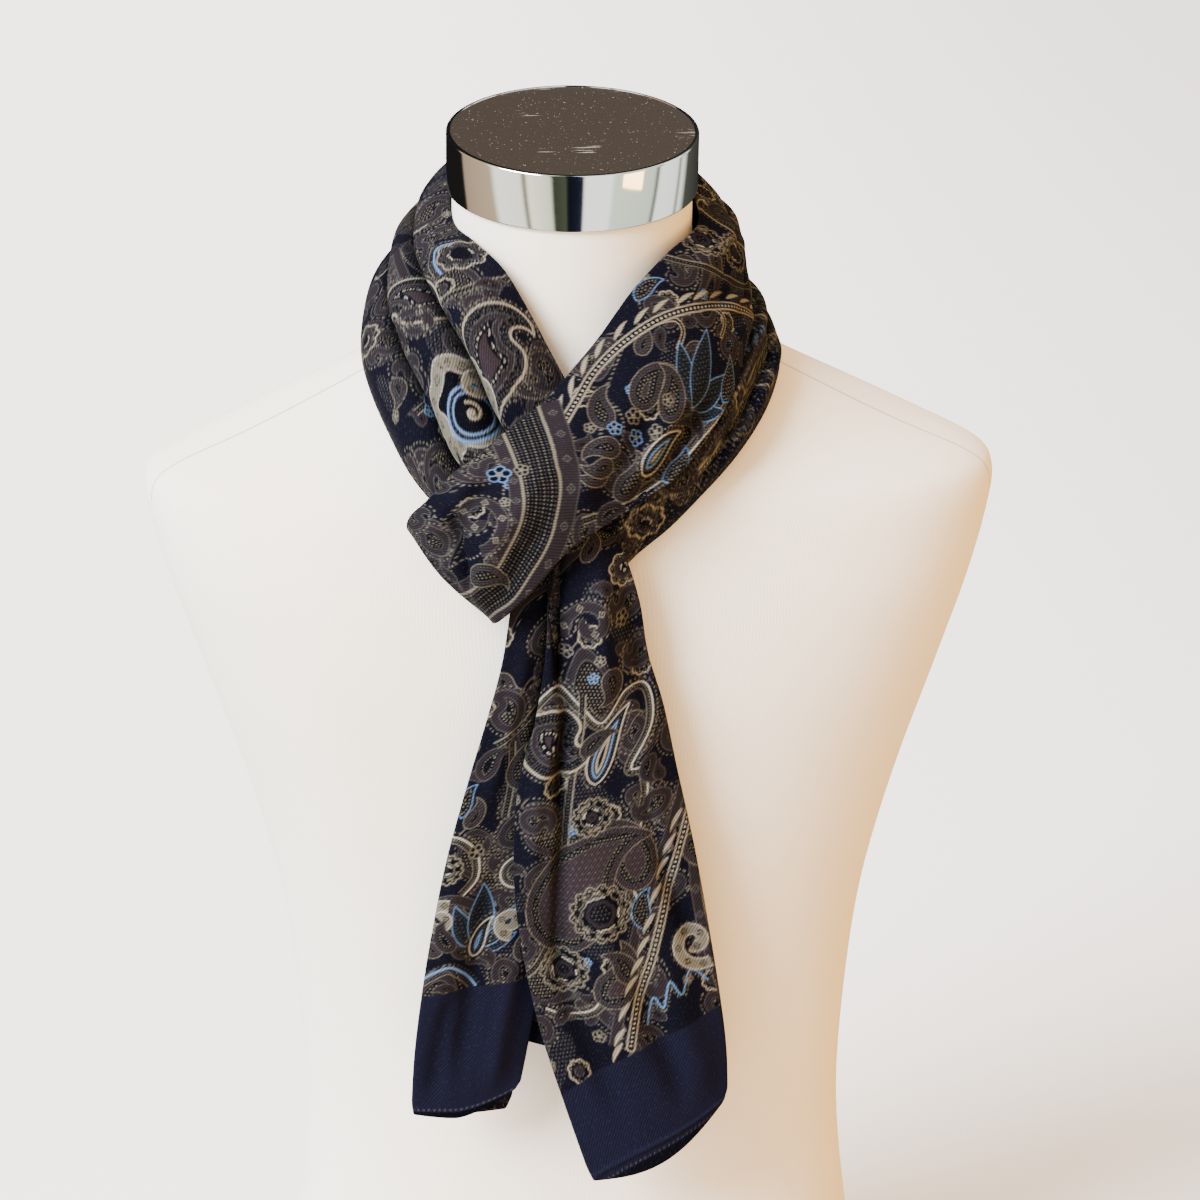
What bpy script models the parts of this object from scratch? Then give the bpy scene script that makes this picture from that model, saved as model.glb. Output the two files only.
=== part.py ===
"""A printed wool scarf, knotted round a limbless dress form with a metal neck cap.

Sizes are in millimetres and turn to metres when a mesh is made. X runs to the
viewer's right, -Y faces the viewer, and Z is up from the form's flat base.
"""
import math

import bmesh
import bpy
import numpy as np
from mathutils import Matrix, Vector

MM = 0.001
CLOTH_WALL = 1.2         # wall of every stretch of cloth
TURN_RADIUS = 1.6        # half of the thickness of a folded edge
TURN_FLAP = 5.0          # cloth turned under at a folded edge
TURN_STEPS = 4           # facets round a folded edge
PLEAT_HEIGHT = 4.5       # how far a pleat of the collar stands above its valleys

# ---- dress form ----
FORM_STEPS_ROUND = 44
FORM_STEPS_UP = 30
NECK_TILT = math.radians(10.0)

# Level sections of the form, from the base to the top of the neck. "square" is the
# power of the rounded outline: 2 is an ellipse, less is pointed at the shoulders.
# "tilt" is the share of the neck's lean that the section has.
FORM_COLUMNS = ("z", "half_width", "front", "back", "square", "tilt")
FORM_SECTIONS = (
    (0.0, 161.0, -104.0, 106.0, 2.3, 0.0),
    (60.0, 155.0, -101.0, 104.0, 2.3, 0.0),
    (120.0, 147.5, -97.0, 95.0, 2.3, 0.0),
    (170.0, 145.0, -96.0, 89.0, 2.3, 0.0),
    (235.0, 149.5, -100.0, 90.0, 2.3, 0.0),
    (290.0, 157.5, -106.0, 96.0, 2.4, 0.0),
    (350.0, 173.5, -113.0, 105.0, 2.5, 0.0),
    (410.0, 194.0, -117.0, 112.0, 2.6, 0.0),
    (455.0, 210.0, -114.5, 113.0, 2.6, 0.0),
    (488.0, 220.0, -109.0, 109.0, 2.4, 0.0),
    (508.0, 223.0, -104.0, 105.0, 2.2, 0.0),
    (520.0, 215.0, -101.0, 101.0, 1.9, 0.0),
    (536.0, 186.0, -97.0, 96.0, 1.6, 0.0),
    (554.0, 150.0, -93.0, 89.0, 1.5, 0.0),
    (572.0, 112.0, -88.0, 80.0, 1.6, 0.1),
    (588.0, 84.0, -84.0, 69.0, 1.8, 0.3),
    (604.0, 69.0, -83.0, 57.0, 1.95, 0.6),
    (626.0, 62.5, -83.0, 46.0, 2.0, 1.0),
    (662.6, 61.5, -84.2, 38.8, 2.0, 1.0),
)

# ---- neck cap ----
CAP_RADIUS = 64.5
CAP_HEIGHT = 30.5
CAP_TOP = (0.0, -28.0, 693.0)
CAP_ROUNDING = 1.2
CAP_SIDES = 60

# ---- scarf ----
# Each table has a row for each section of a stretch. A section runs from the edge a
# to the edge b. Its middle stands out from that line by "rise", and lies "bow"
# further along the stretch than its edges do.
NECK_MIDDLE = (0.0, -25.0, 560.0)   # each stretch faces away from this point
SECTION_COLUMNS = ("ax", "ay", "az", "bx", "by", "bz", "rise", "bow")

# The stretch round the neck. valley_1 and valley_2 say where the two valleys between
# its three pleats lie, as shares of the section.
COLLAR_COLUMNS = SECTION_COLUMNS + ("valley_1", "valley_2")
COLLAR_LEFT = (
    (-62.5, -5.0, 657.0, -103.0, -10.0, 585.0, 6.0, 0.0, 0.20, 0.40),
    (-61.5, -33.0, 645.0, -104.0, -38.0, 572.0, 8.0, 0.0, 0.22, 0.52),
    (-51.5, -62.0, 641.0, -100.0, -60.0, 561.0, 9.0, 0.0, 0.30, 0.62),
    (-39.0, -82.0, 632.0, -94.0, -76.0, 548.0, 9.0, 0.0, 0.34, 0.66),
    (-26.5, -93.0, 612.0, -87.0, -90.0, 534.0, 9.0, 0.0, 0.36, 0.68),
    (-16.5, -99.5, 593.0, -77.0, -101.0, 522.0, 9.0, 0.0, 0.41, 0.74),
    (-7.0, -103.0, 575.0, -63.0, -109.0, 508.0, 8.0, 0.0, 0.44, 0.76),
    (3.0, -106.0, 557.0, -48.0, -115.0, 494.0, 7.0, 0.0, 0.44, 0.76),
)
# From the left side over the nape to the right side.
COLLAR_BACK = (
    (-62.5, -4.4, 657.2, -103.0, -9.4, 585.1, 6.0, 0.0, 0.20, 0.40),
    (-56.5, 10.0, 667.0, -98.0, 17.0, 588.0, 6.0, 0.0, 0.24, 0.52),
    (-45.5, 24.0, 673.0, -81.0, 45.0, 590.0, 8.0, 0.0, 0.28, 0.62),
    (-25.0, 36.5, 672.0, -45.0, 65.0, 592.0, 10.0, 0.0, 0.32, 0.66),
    (0.0, 41.0, 669.0, 0.0, 74.0, 594.0, 10.0, 0.0, 0.33, 0.66),
    (25.0, 36.5, 671.0, 45.0, 65.0, 592.0, 10.0, 0.0, 0.32, 0.62),
    (46.0, 25.0, 671.0, 81.0, 45.0, 590.0, 8.0, 0.0, 0.28, 0.56),
    (57.0, 11.0, 663.0, 98.0, 17.0, 588.0, 6.0, 0.0, 0.24, 0.50),
    (63.0, -5.6, 652.0, 104.0, -8.6, 585.0, 6.0, 0.0, 0.22, 0.46),
)

# The band that comes down from the right side, crosses over and turns behind.
FRONT_BAND = (
    (66.0, -7.0, 652.0, 86.0, -8.0, 619.0, 7.0, 0.0),
    (63.5, -43.0, 645.0, 89.0, -36.0, 604.0, 7.0, 0.0),
    (45.5, -73.0, 637.0, 85.0, -61.0, 589.0, 6.0, 0.0),
    (27.0, -89.0, 622.0, 77.0, -84.0, 573.0, 7.0, 0.0),
    (9.0, -102.0, 601.0, 67.0, -101.0, 560.0, 9.0, 0.0),
    (-4.0, -111.0, 588.0, 56.0, -114.0, 547.0, 10.0, 0.0),
    (-13.0, -117.0, 579.0, 43.0, -127.0, 536.0, 10.0, 0.0),
    (-26.0, -125.0, 569.0, 25.0, -138.0, 527.5, 10.0, 0.0),
    (-40.0, -130.5, 560.0, 5.0, -146.0, 517.0, 10.0, 0.0),
    (-53.0, -133.0, 549.5, -12.0, -150.0, 506.0, 9.0, 0.0),
    (-66.0, -134.0, 540.5, -25.0, -151.0, 491.0, 8.0, -2.0),
    (-79.0, -132.0, 528.0, -36.0, -149.0, 479.0, 6.0, -5.0),
    (-87.5, -126.0, 517.5, -44.0, -143.0, 470.0, 3.0, -7.0),
    (-88.0, -117.0, 513.0, -46.0, -133.0, 466.0, -1.0, -7.0),
    (-78.0, -110.5, 510.0, -42.0, -124.0, 470.0, -3.0, -3.0),
)

# The layer below it, which turns down into the right tail.
UNDER_BAND = (
    (75.0, -7.4, 613.0, 104.0, -9.8, 585.0, 8.0, 0.0),
    (71.0, -41.0, 603.0, 105.0, -38.0, 575.0, 8.0, 0.0),
    (61.0, -61.8, 589.0, 99.0, -60.0, 562.5, 7.5, 0.0),
    (50.0, -83.0, 573.8, 89.0, -80.0, 550.5, 7.5, 0.0),
    (38.0, -100.5, 560.0, 75.0, -95.0, 536.0, 8.0, 0.0),
    (25.0, -112.0, 546.0, 58.0, -106.0, 521.0, 8.0, 0.0),
    (10.0, -120.0, 535.0, 42.0, -113.0, 507.0, 8.0, 0.0),
    (-5.0, -124.0, 525.0, 25.0, -119.0, 495.0, 7.0, 0.0),
)
UNDER_BAND_SKEW = 1.7    # puts its fullest part towards the outer edge

# The tails, from the knot down to the hem. a is the viewer's left edge.
TAIL_RIGHT = (
    (-9.0, -132.0, 517.0, 12.0, -133.0, 509.0, 3.0, 0.0),
    (-15.0, -138.5, 494.0, 18.5, -135.0, 496.0, 5.0, 0.0),
    (-18.0, -142.5, 473.0, 25.0, -138.0, 474.0, 7.0, 0.0),
    (-20.0, -143.0, 446.0, 29.0, -139.0, 448.0, 7.0, 0.0),
    (-25.0, -142.0, 414.0, 37.0, -138.0, 420.0, 6.0, 0.0),
    (-34.0, -140.5, 376.0, 44.0, -137.0, 386.0, 6.0, 0.0),
    (-36.0, -139.5, 330.0, 53.0, -136.0, 344.0, 6.0, 0.0),
    (-32.0, -139.0, 290.0, 60.5, -135.0, 302.0, 6.0, 1.0),
    (-23.0, -138.5, 246.0, 67.5, -134.0, 258.0, 6.0, 4.0),
    (-10.5, -138.0, 204.0, 71.0, -133.0, 229.0, 6.0, 7.0),
    (3.5, -137.0, 160.0, 72.0, -133.0, 202.0, 5.0, 10.0),
)
TAIL_LEFT = (
    (-34.0, -131.0, 490.0, -6.0, -127.5, 492.0, 2.0, 0.0),
    (-37.5, -136.0, 464.0, -10.0, -129.5, 464.0, 3.0, 0.0),
    (-41.5, -136.0, 440.0, -8.0, -128.5, 440.0, 3.0, 0.0),
    (-49.0, -135.0, 412.0, -6.0, -127.3, 412.0, 3.0, 0.0),
    (-59.0, -134.0, 378.0, -6.0, -127.2, 378.0, 3.0, 0.0),
    (-69.5, -133.0, 339.0, -10.0, -127.0, 339.0, 3.0, 0.0),
    (-77.0, -132.5, 302.0, -17.0, -127.0, 302.0, 3.0, 0.0),
    (-83.0, -132.0, 266.0, -25.0, -127.0, 266.0, 3.0, 0.0),
    (-87.5, -131.0, 230.0, -32.0, -126.5, 230.0, 3.0, 1.0),
    (-89.5, -130.0, 197.0, -38.0, -126.0, 197.0, 3.0, 2.0),
)
# The layer of the right tail that shows between the two.
TAIL_INNER = (
    (-20.0, -120.6, 492.0, 6.0, -120.6, 492.0, 2.0, 0.0),
    (-22.0, -120.6, 420.0, 8.0, -120.6, 420.0, 2.0, 0.0),
    (-29.0, -120.4, 330.0, 8.0, -120.4, 330.0, 2.0, 0.0),
    (-32.0, -120.2, 233.0, 6.0, -120.2, 226.0, 2.0, 1.0),
)
TAIL_TURN_RADIUS = 2.6
TAIL_RIGHT_BACK = 0.62   # share of the width that the layer behind reaches back
TAIL_LEFT_BACK = 0.70

WHITE_JERSEY = ((0.86, 0.84, 0.80, 1.0), 0.85, 0.0)
BRIGHT_METAL = ((0.62, 0.60, 0.56, 1.0), 0.12, 1.0)
NAVY_PRINT = ((0.035, 0.033, 0.060, 1.0), 0.80, 0.0)


def smooth_rows(rows, count):
    """Read a number of even steps from a smooth curve through a table's rows."""
    rows = np.array(rows, float)
    last = len(rows) - 1
    steps = []
    for place in np.linspace(0.0, last, count):
        i = min(int(place), last - 1)
        f = place - i
        before, here = rows[max(i - 1, 0)], rows[i]
        ahead, beyond = rows[i + 1], rows[min(i + 2, last)]
        linear = (ahead - before) * f
        square = (2 * before - 5 * here + 4 * ahead - beyond) * f ** 2
        cube = (3 * here - before - 3 * ahead + beyond) * f ** 3
        steps.append(0.5 * (2 * here + linear + square + cube))
    return np.array(steps)


def make_material(name, look):
    colour, roughness, metallic = look
    material = bpy.data.materials.new(name)
    material.use_nodes = True
    shader = material.node_tree.nodes["Principled BSDF"]
    shader.inputs["Base Color"].default_value = colour
    shader.inputs["Roughness"].default_value = roughness
    shader.inputs["Metallic"].default_value = metallic
    return material


def add_object(name, mesh, collection, material):
    part = bpy.data.objects.new(name, mesh)
    collection.objects.link(part)
    mesh.materials.append(material)
    return part


def loft(sections, closed):
    """Skin a list of equal rows of points; closed joins each row into a ring."""
    form = bmesh.new()
    rows = [[form.verts.new(Vector(p) * MM) for p in row] for row in sections]
    width = len(rows[0])
    spans = width if closed else width - 1
    for low, high in zip(rows, rows[1:]):
        for i in range(spans):
            j = (i + 1) % width
            form.faces.new((low[i], low[j], high[j], high[i]))
    return form, rows


def finish_mesh(form, name):
    mesh = bpy.data.meshes.new(name)
    form.to_mesh(mesh)
    form.free()
    mesh.shade_smooth()
    mesh.set_sharp_from_angle(angle=math.radians(40.0))
    return mesh


# ---- dress form and cap ----

def form_ring(z, half_width, front, back, square, tilt):
    """One section of the form: a rounded outline, leaned forward at the neck."""
    middle = (front + back) / 2
    depth = (back - front) / 2
    power = 2.0 / square
    ring = []
    for i in range(FORM_STEPS_ROUND):
        angle = 2 * math.pi * i / FORM_STEPS_ROUND
        c, s = math.cos(angle), math.sin(angle)
        x = half_width * math.copysign(abs(c) ** power, c)
        y = middle + depth * math.copysign(abs(s) ** power, s)
        ring.append((x, y, z + tilt * math.tan(NECK_TILT) * (y - middle)))
    return ring


def build_form(collection, material):
    steps = smooth_rows(FORM_SECTIONS, FORM_STEPS_UP)
    rings = [form_ring(**dict(zip(FORM_COLUMNS, step))) for step in steps]
    form, rows = loft(rings, closed=True)
    form.faces.new(list(reversed(rows[0])))
    form.faces.new(rows[-1])
    return add_object("dress_form", finish_mesh(form, "dress_form"), collection, material)


def build_cap(collection, material):
    lean = Matrix.Rotation(NECK_TILT, 4, "X")
    centre = Vector(CAP_TOP) - lean @ Vector((0, 0, CAP_HEIGHT / 2))
    form = bmesh.new()
    bmesh.ops.create_cone(form, cap_ends=True, segments=CAP_SIDES, radius1=CAP_RADIUS * MM,
                          radius2=CAP_RADIUS * MM, depth=CAP_HEIGHT * MM)
    bmesh.ops.transform(form, matrix=lean, verts=form.verts)
    bmesh.ops.translate(form, vec=centre * MM, verts=form.verts)
    cap = add_object("neck_cap", finish_mesh(form, "neck_cap"), collection, material)
    rounding = cap.modifiers.new("rounding", "BEVEL")
    rounding.width = CAP_ROUNDING * MM
    rounding.segments = 2
    rounding.limit_method = "ANGLE"
    rounding.angle_limit = math.radians(40.0)
    return cap


# ---- cloth ----

def named_columns(table, columns, count):
    """Smooth a table to a number of rows and give each of its columns by name."""
    return dict(zip(columns, smooth_rows(table, count).T))


def section_frames(row):
    """The edges a, the runs from a to b, the way along and the way out of each row."""
    a = np.stack([row["ax"], row["ay"], row["az"]], axis=1)
    b = np.stack([row["bx"], row["by"], row["bz"]], axis=1)
    middle = (a + b) / 2
    along = np.gradient(middle, axis=0)
    along /= np.linalg.norm(along, axis=1)[:, None]
    facing = np.cross(b - a, along)
    facing /= np.linalg.norm(facing, axis=1)[:, None]
    if facing[0] @ (middle[0] - np.array(NECK_MIDDLE)) < 0:
        facing = -facing
    return a, b - a, along, facing


def turned_edge(radius, flap):
    """A folded edge at 0: round a half circle and back under, as (across, out)."""
    points = [(flap, -2 * radius), (0.0, -2 * radius)]
    for i in range(1, TURN_STEPS):
        angle = math.pi * i / TURN_STEPS
        points.append((-radius * math.sin(angle), -radius * (1 + math.cos(angle))))
    return points


def folded_section(width, rise, skew, steps, start, end):
    """A section with both edges turned under, as (across, out) in millimetres."""
    points = turned_edge(*start)
    for i in range(steps + 1):
        share = (1 - math.cos(math.pi * i / steps)) / 2
        points.append((share * width, rise * math.sin(math.pi * share ** skew)))
    points += [(width - across, out) for across, out in reversed(turned_edge(*end))]
    return points


def cloth_sheet(name, sections, collection, material):
    """Skin the sections and give the sheet its wall."""
    form, _ = loft(sections, closed=False)
    part = add_object(name, finish_mesh(form, name), collection, material)
    wall = part.modifiers.new("wall", "SOLIDIFY")
    wall.thickness = CLOTH_WALL * MM
    wall.offset = 0.0
    return part


def build_band(name, table, steps_along, steps_across, turns, look, skew=1.0):
    """A stretch whose edges are folds. Each turn is a radius and how far it goes
    back under: in millimetres, or as a share of the width where it is below 1."""
    row = named_columns(table, SECTION_COLUMNS, steps_along)
    a, run, along, facing = section_frames(row)
    sections = []
    for i in range(steps_along):
        width = np.linalg.norm(run[i])
        ends = [(radius, flap if flap > 1.0 else flap * width) for radius, flap in turns]
        section = []
        for across, out in folded_section(width, row["rise"][i], skew, steps_across, *ends):
            share = min(max(across / width, 0.0), 1.0)
            bow = row["bow"][i] * math.sin(math.pi * share)
            section.append(a[i] + run[i] * (across / width) + facing[i] * out + along[i] * bow)
        sections.append(section)
    return cloth_sheet(name, sections, *look)


def build_collar(name, table, steps_along, steps_a_pleat, look):
    """A stretch round the neck with three pleats, parted by two valleys."""
    row = named_columns(table, COLLAR_COLUMNS, steps_along)
    a, run, _, facing = section_frames(row)
    sections = []
    for i in range(steps_along):
        folds = (0.0, row["valley_1"][i], row["valley_2"][i], 1.0)
        section = []
        for low, high in zip(folds, folds[1:]):
            for j in range(steps_a_pleat):
                local = j / steps_a_pleat
                share = low + (high - low) * local
                out = row["rise"][i] * math.sin(math.pi * share)
                out += PLEAT_HEIGHT * math.sin(math.pi * local)
                section.append(a[i] + run[i] * share + facing[i] * out)
        section.append(a[i] + run[i])
        sections.append(section)
    return cloth_sheet(name, sections, *look)


def build():
    for old in list(bpy.data.objects):
        bpy.data.objects.remove(old, do_unlink=True)
    collection = bpy.data.collections.new("Scarf on a dress form")
    bpy.context.scene.collection.children.link(collection)
    jersey = make_material("White jersey cover", WHITE_JERSEY)
    metal = make_material("Polished metal", BRIGHT_METAL)
    wool = make_material("Printed wool twill", NAVY_PRINT)

    build_form(collection, jersey)
    build_cap(collection, metal)
    cloth = (collection, wool)
    edge = (TURN_RADIUS, TURN_FLAP)
    build_collar("collar_left", COLLAR_LEFT, 16, 6, cloth)
    build_collar("collar_back", COLLAR_BACK, 20, 6, cloth)
    build_band("front_band", FRONT_BAND, 28, 10, (edge, edge), cloth)
    build_band("under_band", UNDER_BAND, 16, 6, (edge, edge), cloth, UNDER_BAND_SKEW)
    build_band("tail_right", TAIL_RIGHT, 22, 10,
               (edge, (TAIL_TURN_RADIUS, TAIL_RIGHT_BACK)), cloth)
    build_band("tail_inner", TAIL_INNER, 8, 6, (edge, edge), cloth)
    build_band("tail_left", TAIL_LEFT, 20, 8,
               ((TAIL_TURN_RADIUS, TAIL_LEFT_BACK), edge), cloth)


build()
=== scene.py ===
"""The looks of a printed wool scarf, knotted round a limbless dress form.

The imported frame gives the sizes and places. Lengths in the tables are in millimetres,
in the frame's axes: X to the viewer's right, -Y to the viewer, Z up.
"""
import math

import bpy
import numpy as np
from mathutils import Matrix, Vector


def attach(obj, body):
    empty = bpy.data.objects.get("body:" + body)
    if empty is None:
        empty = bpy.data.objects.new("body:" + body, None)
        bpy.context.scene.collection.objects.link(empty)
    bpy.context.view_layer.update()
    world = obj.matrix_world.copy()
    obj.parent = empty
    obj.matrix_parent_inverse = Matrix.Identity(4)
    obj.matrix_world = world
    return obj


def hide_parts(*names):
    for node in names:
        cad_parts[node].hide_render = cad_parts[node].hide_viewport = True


bl_info = {
    "name": "Wool scarf on a dress form",
    "version": (1, 0, 0),
    "blender": (4, 5, 0),
    "location": "3D View > Sidebar > Scarf",
    "description": "Builds the knotted scarf, the form under it and the stage",
    "category": "Add Mesh",
}

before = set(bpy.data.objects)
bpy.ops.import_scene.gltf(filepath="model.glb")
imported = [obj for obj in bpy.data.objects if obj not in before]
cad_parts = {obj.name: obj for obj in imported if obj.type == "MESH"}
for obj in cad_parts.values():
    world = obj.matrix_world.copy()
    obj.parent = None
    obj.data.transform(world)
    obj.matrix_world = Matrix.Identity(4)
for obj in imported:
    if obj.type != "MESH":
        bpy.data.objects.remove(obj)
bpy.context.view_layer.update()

MM = 0.001

# ---- how the cloth lies, in millimetres unless a comment says otherwise ----
NEXT_PLACE = 0.02                # share of a row, to see which way a stretch runs
MEASURED_POINTS = 1200           # where a stretch's length is measured
TURN_POINTS = 7                  # points round a folded edge
FLAP_POINTS = 3, 15              # points across a narrow and across a wide flap
PLEAT_LEANS = (0.45, 0.45, 0.3)  # how far each pleat leans over, as a share of its height
PLEAT_POWER = 0.62               # power of a sine: below 1 the valleys are narrow
GATHER_PLEAT = 6                 # columns gather fully on the sides of a pleat this high
HEM_ROLL = 1.7, 1.2, 0.9         # the rolled hem: from the end, half width, height
HEM_ZONE, HEM_DRAWS = 9, (1.2, 3.0)    # how far up and in the hem's two corners are drawn
CURL_ZONE, CURL_OUT = 34, 3.0    # how far up a curled corner starts, how far it stands out
CURL_FROM, CURL_OVER = 0.42, 0.58     # and across, as shares of the width: from, over
CURL_LIMIT, CURL_POWERS = 1.1, (1.6, 1.3)   # its limit, and how late it rises each way
CREASE_ENDS = 3.5                # a crease fades out over 1 / 3.5 of its length
# Painted shade: the dyes are darkened in folds and creases, where little light reaches real
# cloth.
DARK_REACHES = 7.5, 1.6          # how far beyond a valley and before it
DARK_VALLEY, DARK_PLEAT = 0.95, 5     # by what share, fully for a pleat this high
DARK_CREASE, MOST_IN_CREASE = 9, 0.5  # depth that would take all, and the limit
DARKEST = 0.12                   # the share of the dye that always stays

# ---- the scarf's stretches ----
# A row is a section from the edge a to the edge b. Its middle stands out by "rise" and
# lies "bow" further along than its edges. Two valleys, as shares of the section, part
# three pleats of the height "pleat".
NECK_MIDDLE = (0.0, -25.0, 560.0)   # each stretch faces away from here
COLUMNS = ("ax", "ay", "az", "bx", "by", "bz", "rise", "bow", "valley_1", "valley_2",
           "pleat")

# One length of cloth: from the knot up the viewer's left, round the nape, and down the
# right side over the front to where it turns behind.
WRAP = (
    (3, -106, 557, -48, -115, 494, 5, 0, .44, .76, 6),
    (-7, -103, 575, -63, -109, 508, 6, 0, .44, .76, 9),
    (-16.5, -99.5, 593, -77, -101, 522, 7, 0, .41, .74, 11),
    (-26.5, -93, 612, -87, -90, 534, 7, 0, .36, .68, 12),
    (-39, -82, 632, -94, -76, 548, 7, 0, .34, .66, 12),
    (-51.5, -62, 641, -100, -60, 561, 7, 0, .30, .62, 11),
    (-61.5, -33, 645, -104, -38, 572, 6, 0, .25, .54, 9),
    (-62.5, -5, 657, -103, -10, 585, 5, 0, .24, .52, 6.5),
    (-56.5, 10, 667, -98, 17, 588, 5, 0, .26, .54, 6),
    (-45.5, 24, 673, -81, 45, 590, 7, 0, .28, .62, 6),
    (-25, 36.5, 672, -45, 65, 592, 10, 0, .32, .66, 4.5),
    (0, 41, 669, 0, 73, 596, 10, 0, .33, .66, 4.5),
    (25, 36.5, 671, 43.5, 64, 600, 10, 0, .34, .66, 4.5),
    (46, 25, 671, 77, 44.5, 606, 8, 0, .36, .68, 4),
    (57, 11, 663, 89, 17, 614, 7, 0, .40, .72, 3),
    (65, -7, 652, 87, -8.5, 618, 7, 0, .42, .76, 2),
    (63.5, -43, 645, 89, -36, 604, 7, 0, .44, .78, 1.2),
    (45.5, -73, 637, 85, -61, 589, 6, 0, .44, .78, .8),
    (27, -89, 622, 77, -84, 573, 7, 0, .44, .78, .5),
    (9, -102, 601, 67, -101, 560, 9, 0, .44, .78, .4),
    (-4, -111, 588, 56, -114, 547, 10, 0, .44, .78, .3),
    (-13, -117, 579, 43, -127, 536, 10, 0, .44, .78, .2),
    (-26, -125, 569, 25, -138, 527.5, 10, 0, .44, .78, 0),
    (-40, -130.5, 560, 5, -146, 517, 10, 0, .44, .78, 0),
    (-53, -133, 549.5, -12, -150, 506, 9, 0, .44, .78, 0),
    (-66, -134, 540.5, -25, -151, 491, 8, -4, .44, .78, 0),
    (-78, -132, 527, -36, -149, 479, 7, -8, .44, .78, 0),
    (-86, -127, 518, -44, -143, 470, 4, -12, .44, .78, 0),
    (-87, -119, 510, -46, -133, 466, 0, -12, .44, .78, 0),
    (-80, -111, 506, -42, -124, 470, -3, -6, .44, .78, 0),
)
LEFT_ROWS, NAPE_ROWS, FRONT_ROWS = (0, 7), (7, 15), (15, 29)

# The layer under it on the right, from the nape to the knot.
UNDER = (
    (30, 46, 630, 46, 64, 592, 6, 0, .5, .8, 0),
    (51, 37, 627, 81, 45, 590, 6, 0, .5, .8, 0),
    (66, 14, 621, 98, 17, 588, 7, 0, .5, .8, 0),
    (75, -7.4, 613, 104, -9.8, 585, 8, 0, .5, .8, 1),
    (71, -41, 603, 105, -38, 575, 8, 0, .5, .8, 1.5),
    (61, -61.8, 589, 99, -60, 562.5, 7.5, 0, .5, .8, 1.5),
    (50, -83, 573.8, 89, -80, 550.5, 7.5, 0, .5, .8, 1.5),
    (38, -100.5, 560, 75, -95, 536, 8, 0, .5, .8, 1.5),
    (25, -112, 546, 58, -106, 521, 8, 0, .5, .8, 1),
    (10, -120, 535, 42, -113, 507, 8, 0, .5, .8, .5),
    (-5, -124, 525, 25, -119, 495, 7, 0, .5, .8, 0),
    (-13, -126, 518, 14, -122, 484, 6, 0, .5, .8, 0),
)


def unpleated(*rows):
    """Give the rows of a flat stretch their last three columns."""
    return tuple(row + (.4, .7, 0) for row in rows)


# The tails, from the knot down to the hem.
TAIL_RIGHT = unpleated(
    (-9, -132, 517, 12, -133, 509, 3, 0),
    (-15, -138.5, 494, 18.5, -135, 496, 5, 0),
    (-18, -142.5, 473, 25, -138, 474, 7, 0),
    (-20, -143, 446, 29, -139, 448, 7, 0),
    (-25, -142, 414, 37, -138, 420, 6, 0),
    (-34, -140.5, 376, 44, -137, 386, 6, 0),
    (-36, -139.5, 330, 53, -136, 344, 6, 0),
    (-32, -139, 290, 60.5, -135, 302, 6, 1),
    (-23, -138.5, 246, 67.5, -134, 258, 6, 4),
    (-10.5, -138, 204, 71, -133, 229, 6, 7),
    (3.5, -137, 160, 72, -133, 202, 5, 10),
)
TAIL_LEFT = unpleated(
    (-34, -131, 490, -6, -127.5, 492, 2, 0),
    (-37.5, -136, 464, -10, -129.5, 464, 3, 0),
    (-41.5, -136, 440, -8, -128.5, 440, 3, 0),
    (-49, -135, 412, -6, -127.3, 412, 3, 0),
    (-59, -134, 378, -6, -127.2, 378, 3, 0),
    (-69.5, -133, 339, -10, -127, 339, 3, 0),
    (-77, -132.5, 302, -17, -127, 302, 3, 0),
    (-83, -132, 266, -25, -127, 266, 3, 0),
    (-87.5, -131, 230, -32, -126.5, 230, 3, 1),
    (-89.5, -130, 197, -38, -126, 197, 3, 2),
)
TAIL_INNER = unpleated(
    (-20, -120.6, 492, 6, -120.6, 492, 2, 0),
    (-22, -120.6, 420, 8, -120.6, 420, 2, 0),
    (-29, -120.4, 330, 8, -120.4, 330, 2, 0),
    (-32, -120.2, 233, 6, -120.2, 226, 2, 1),
)

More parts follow.
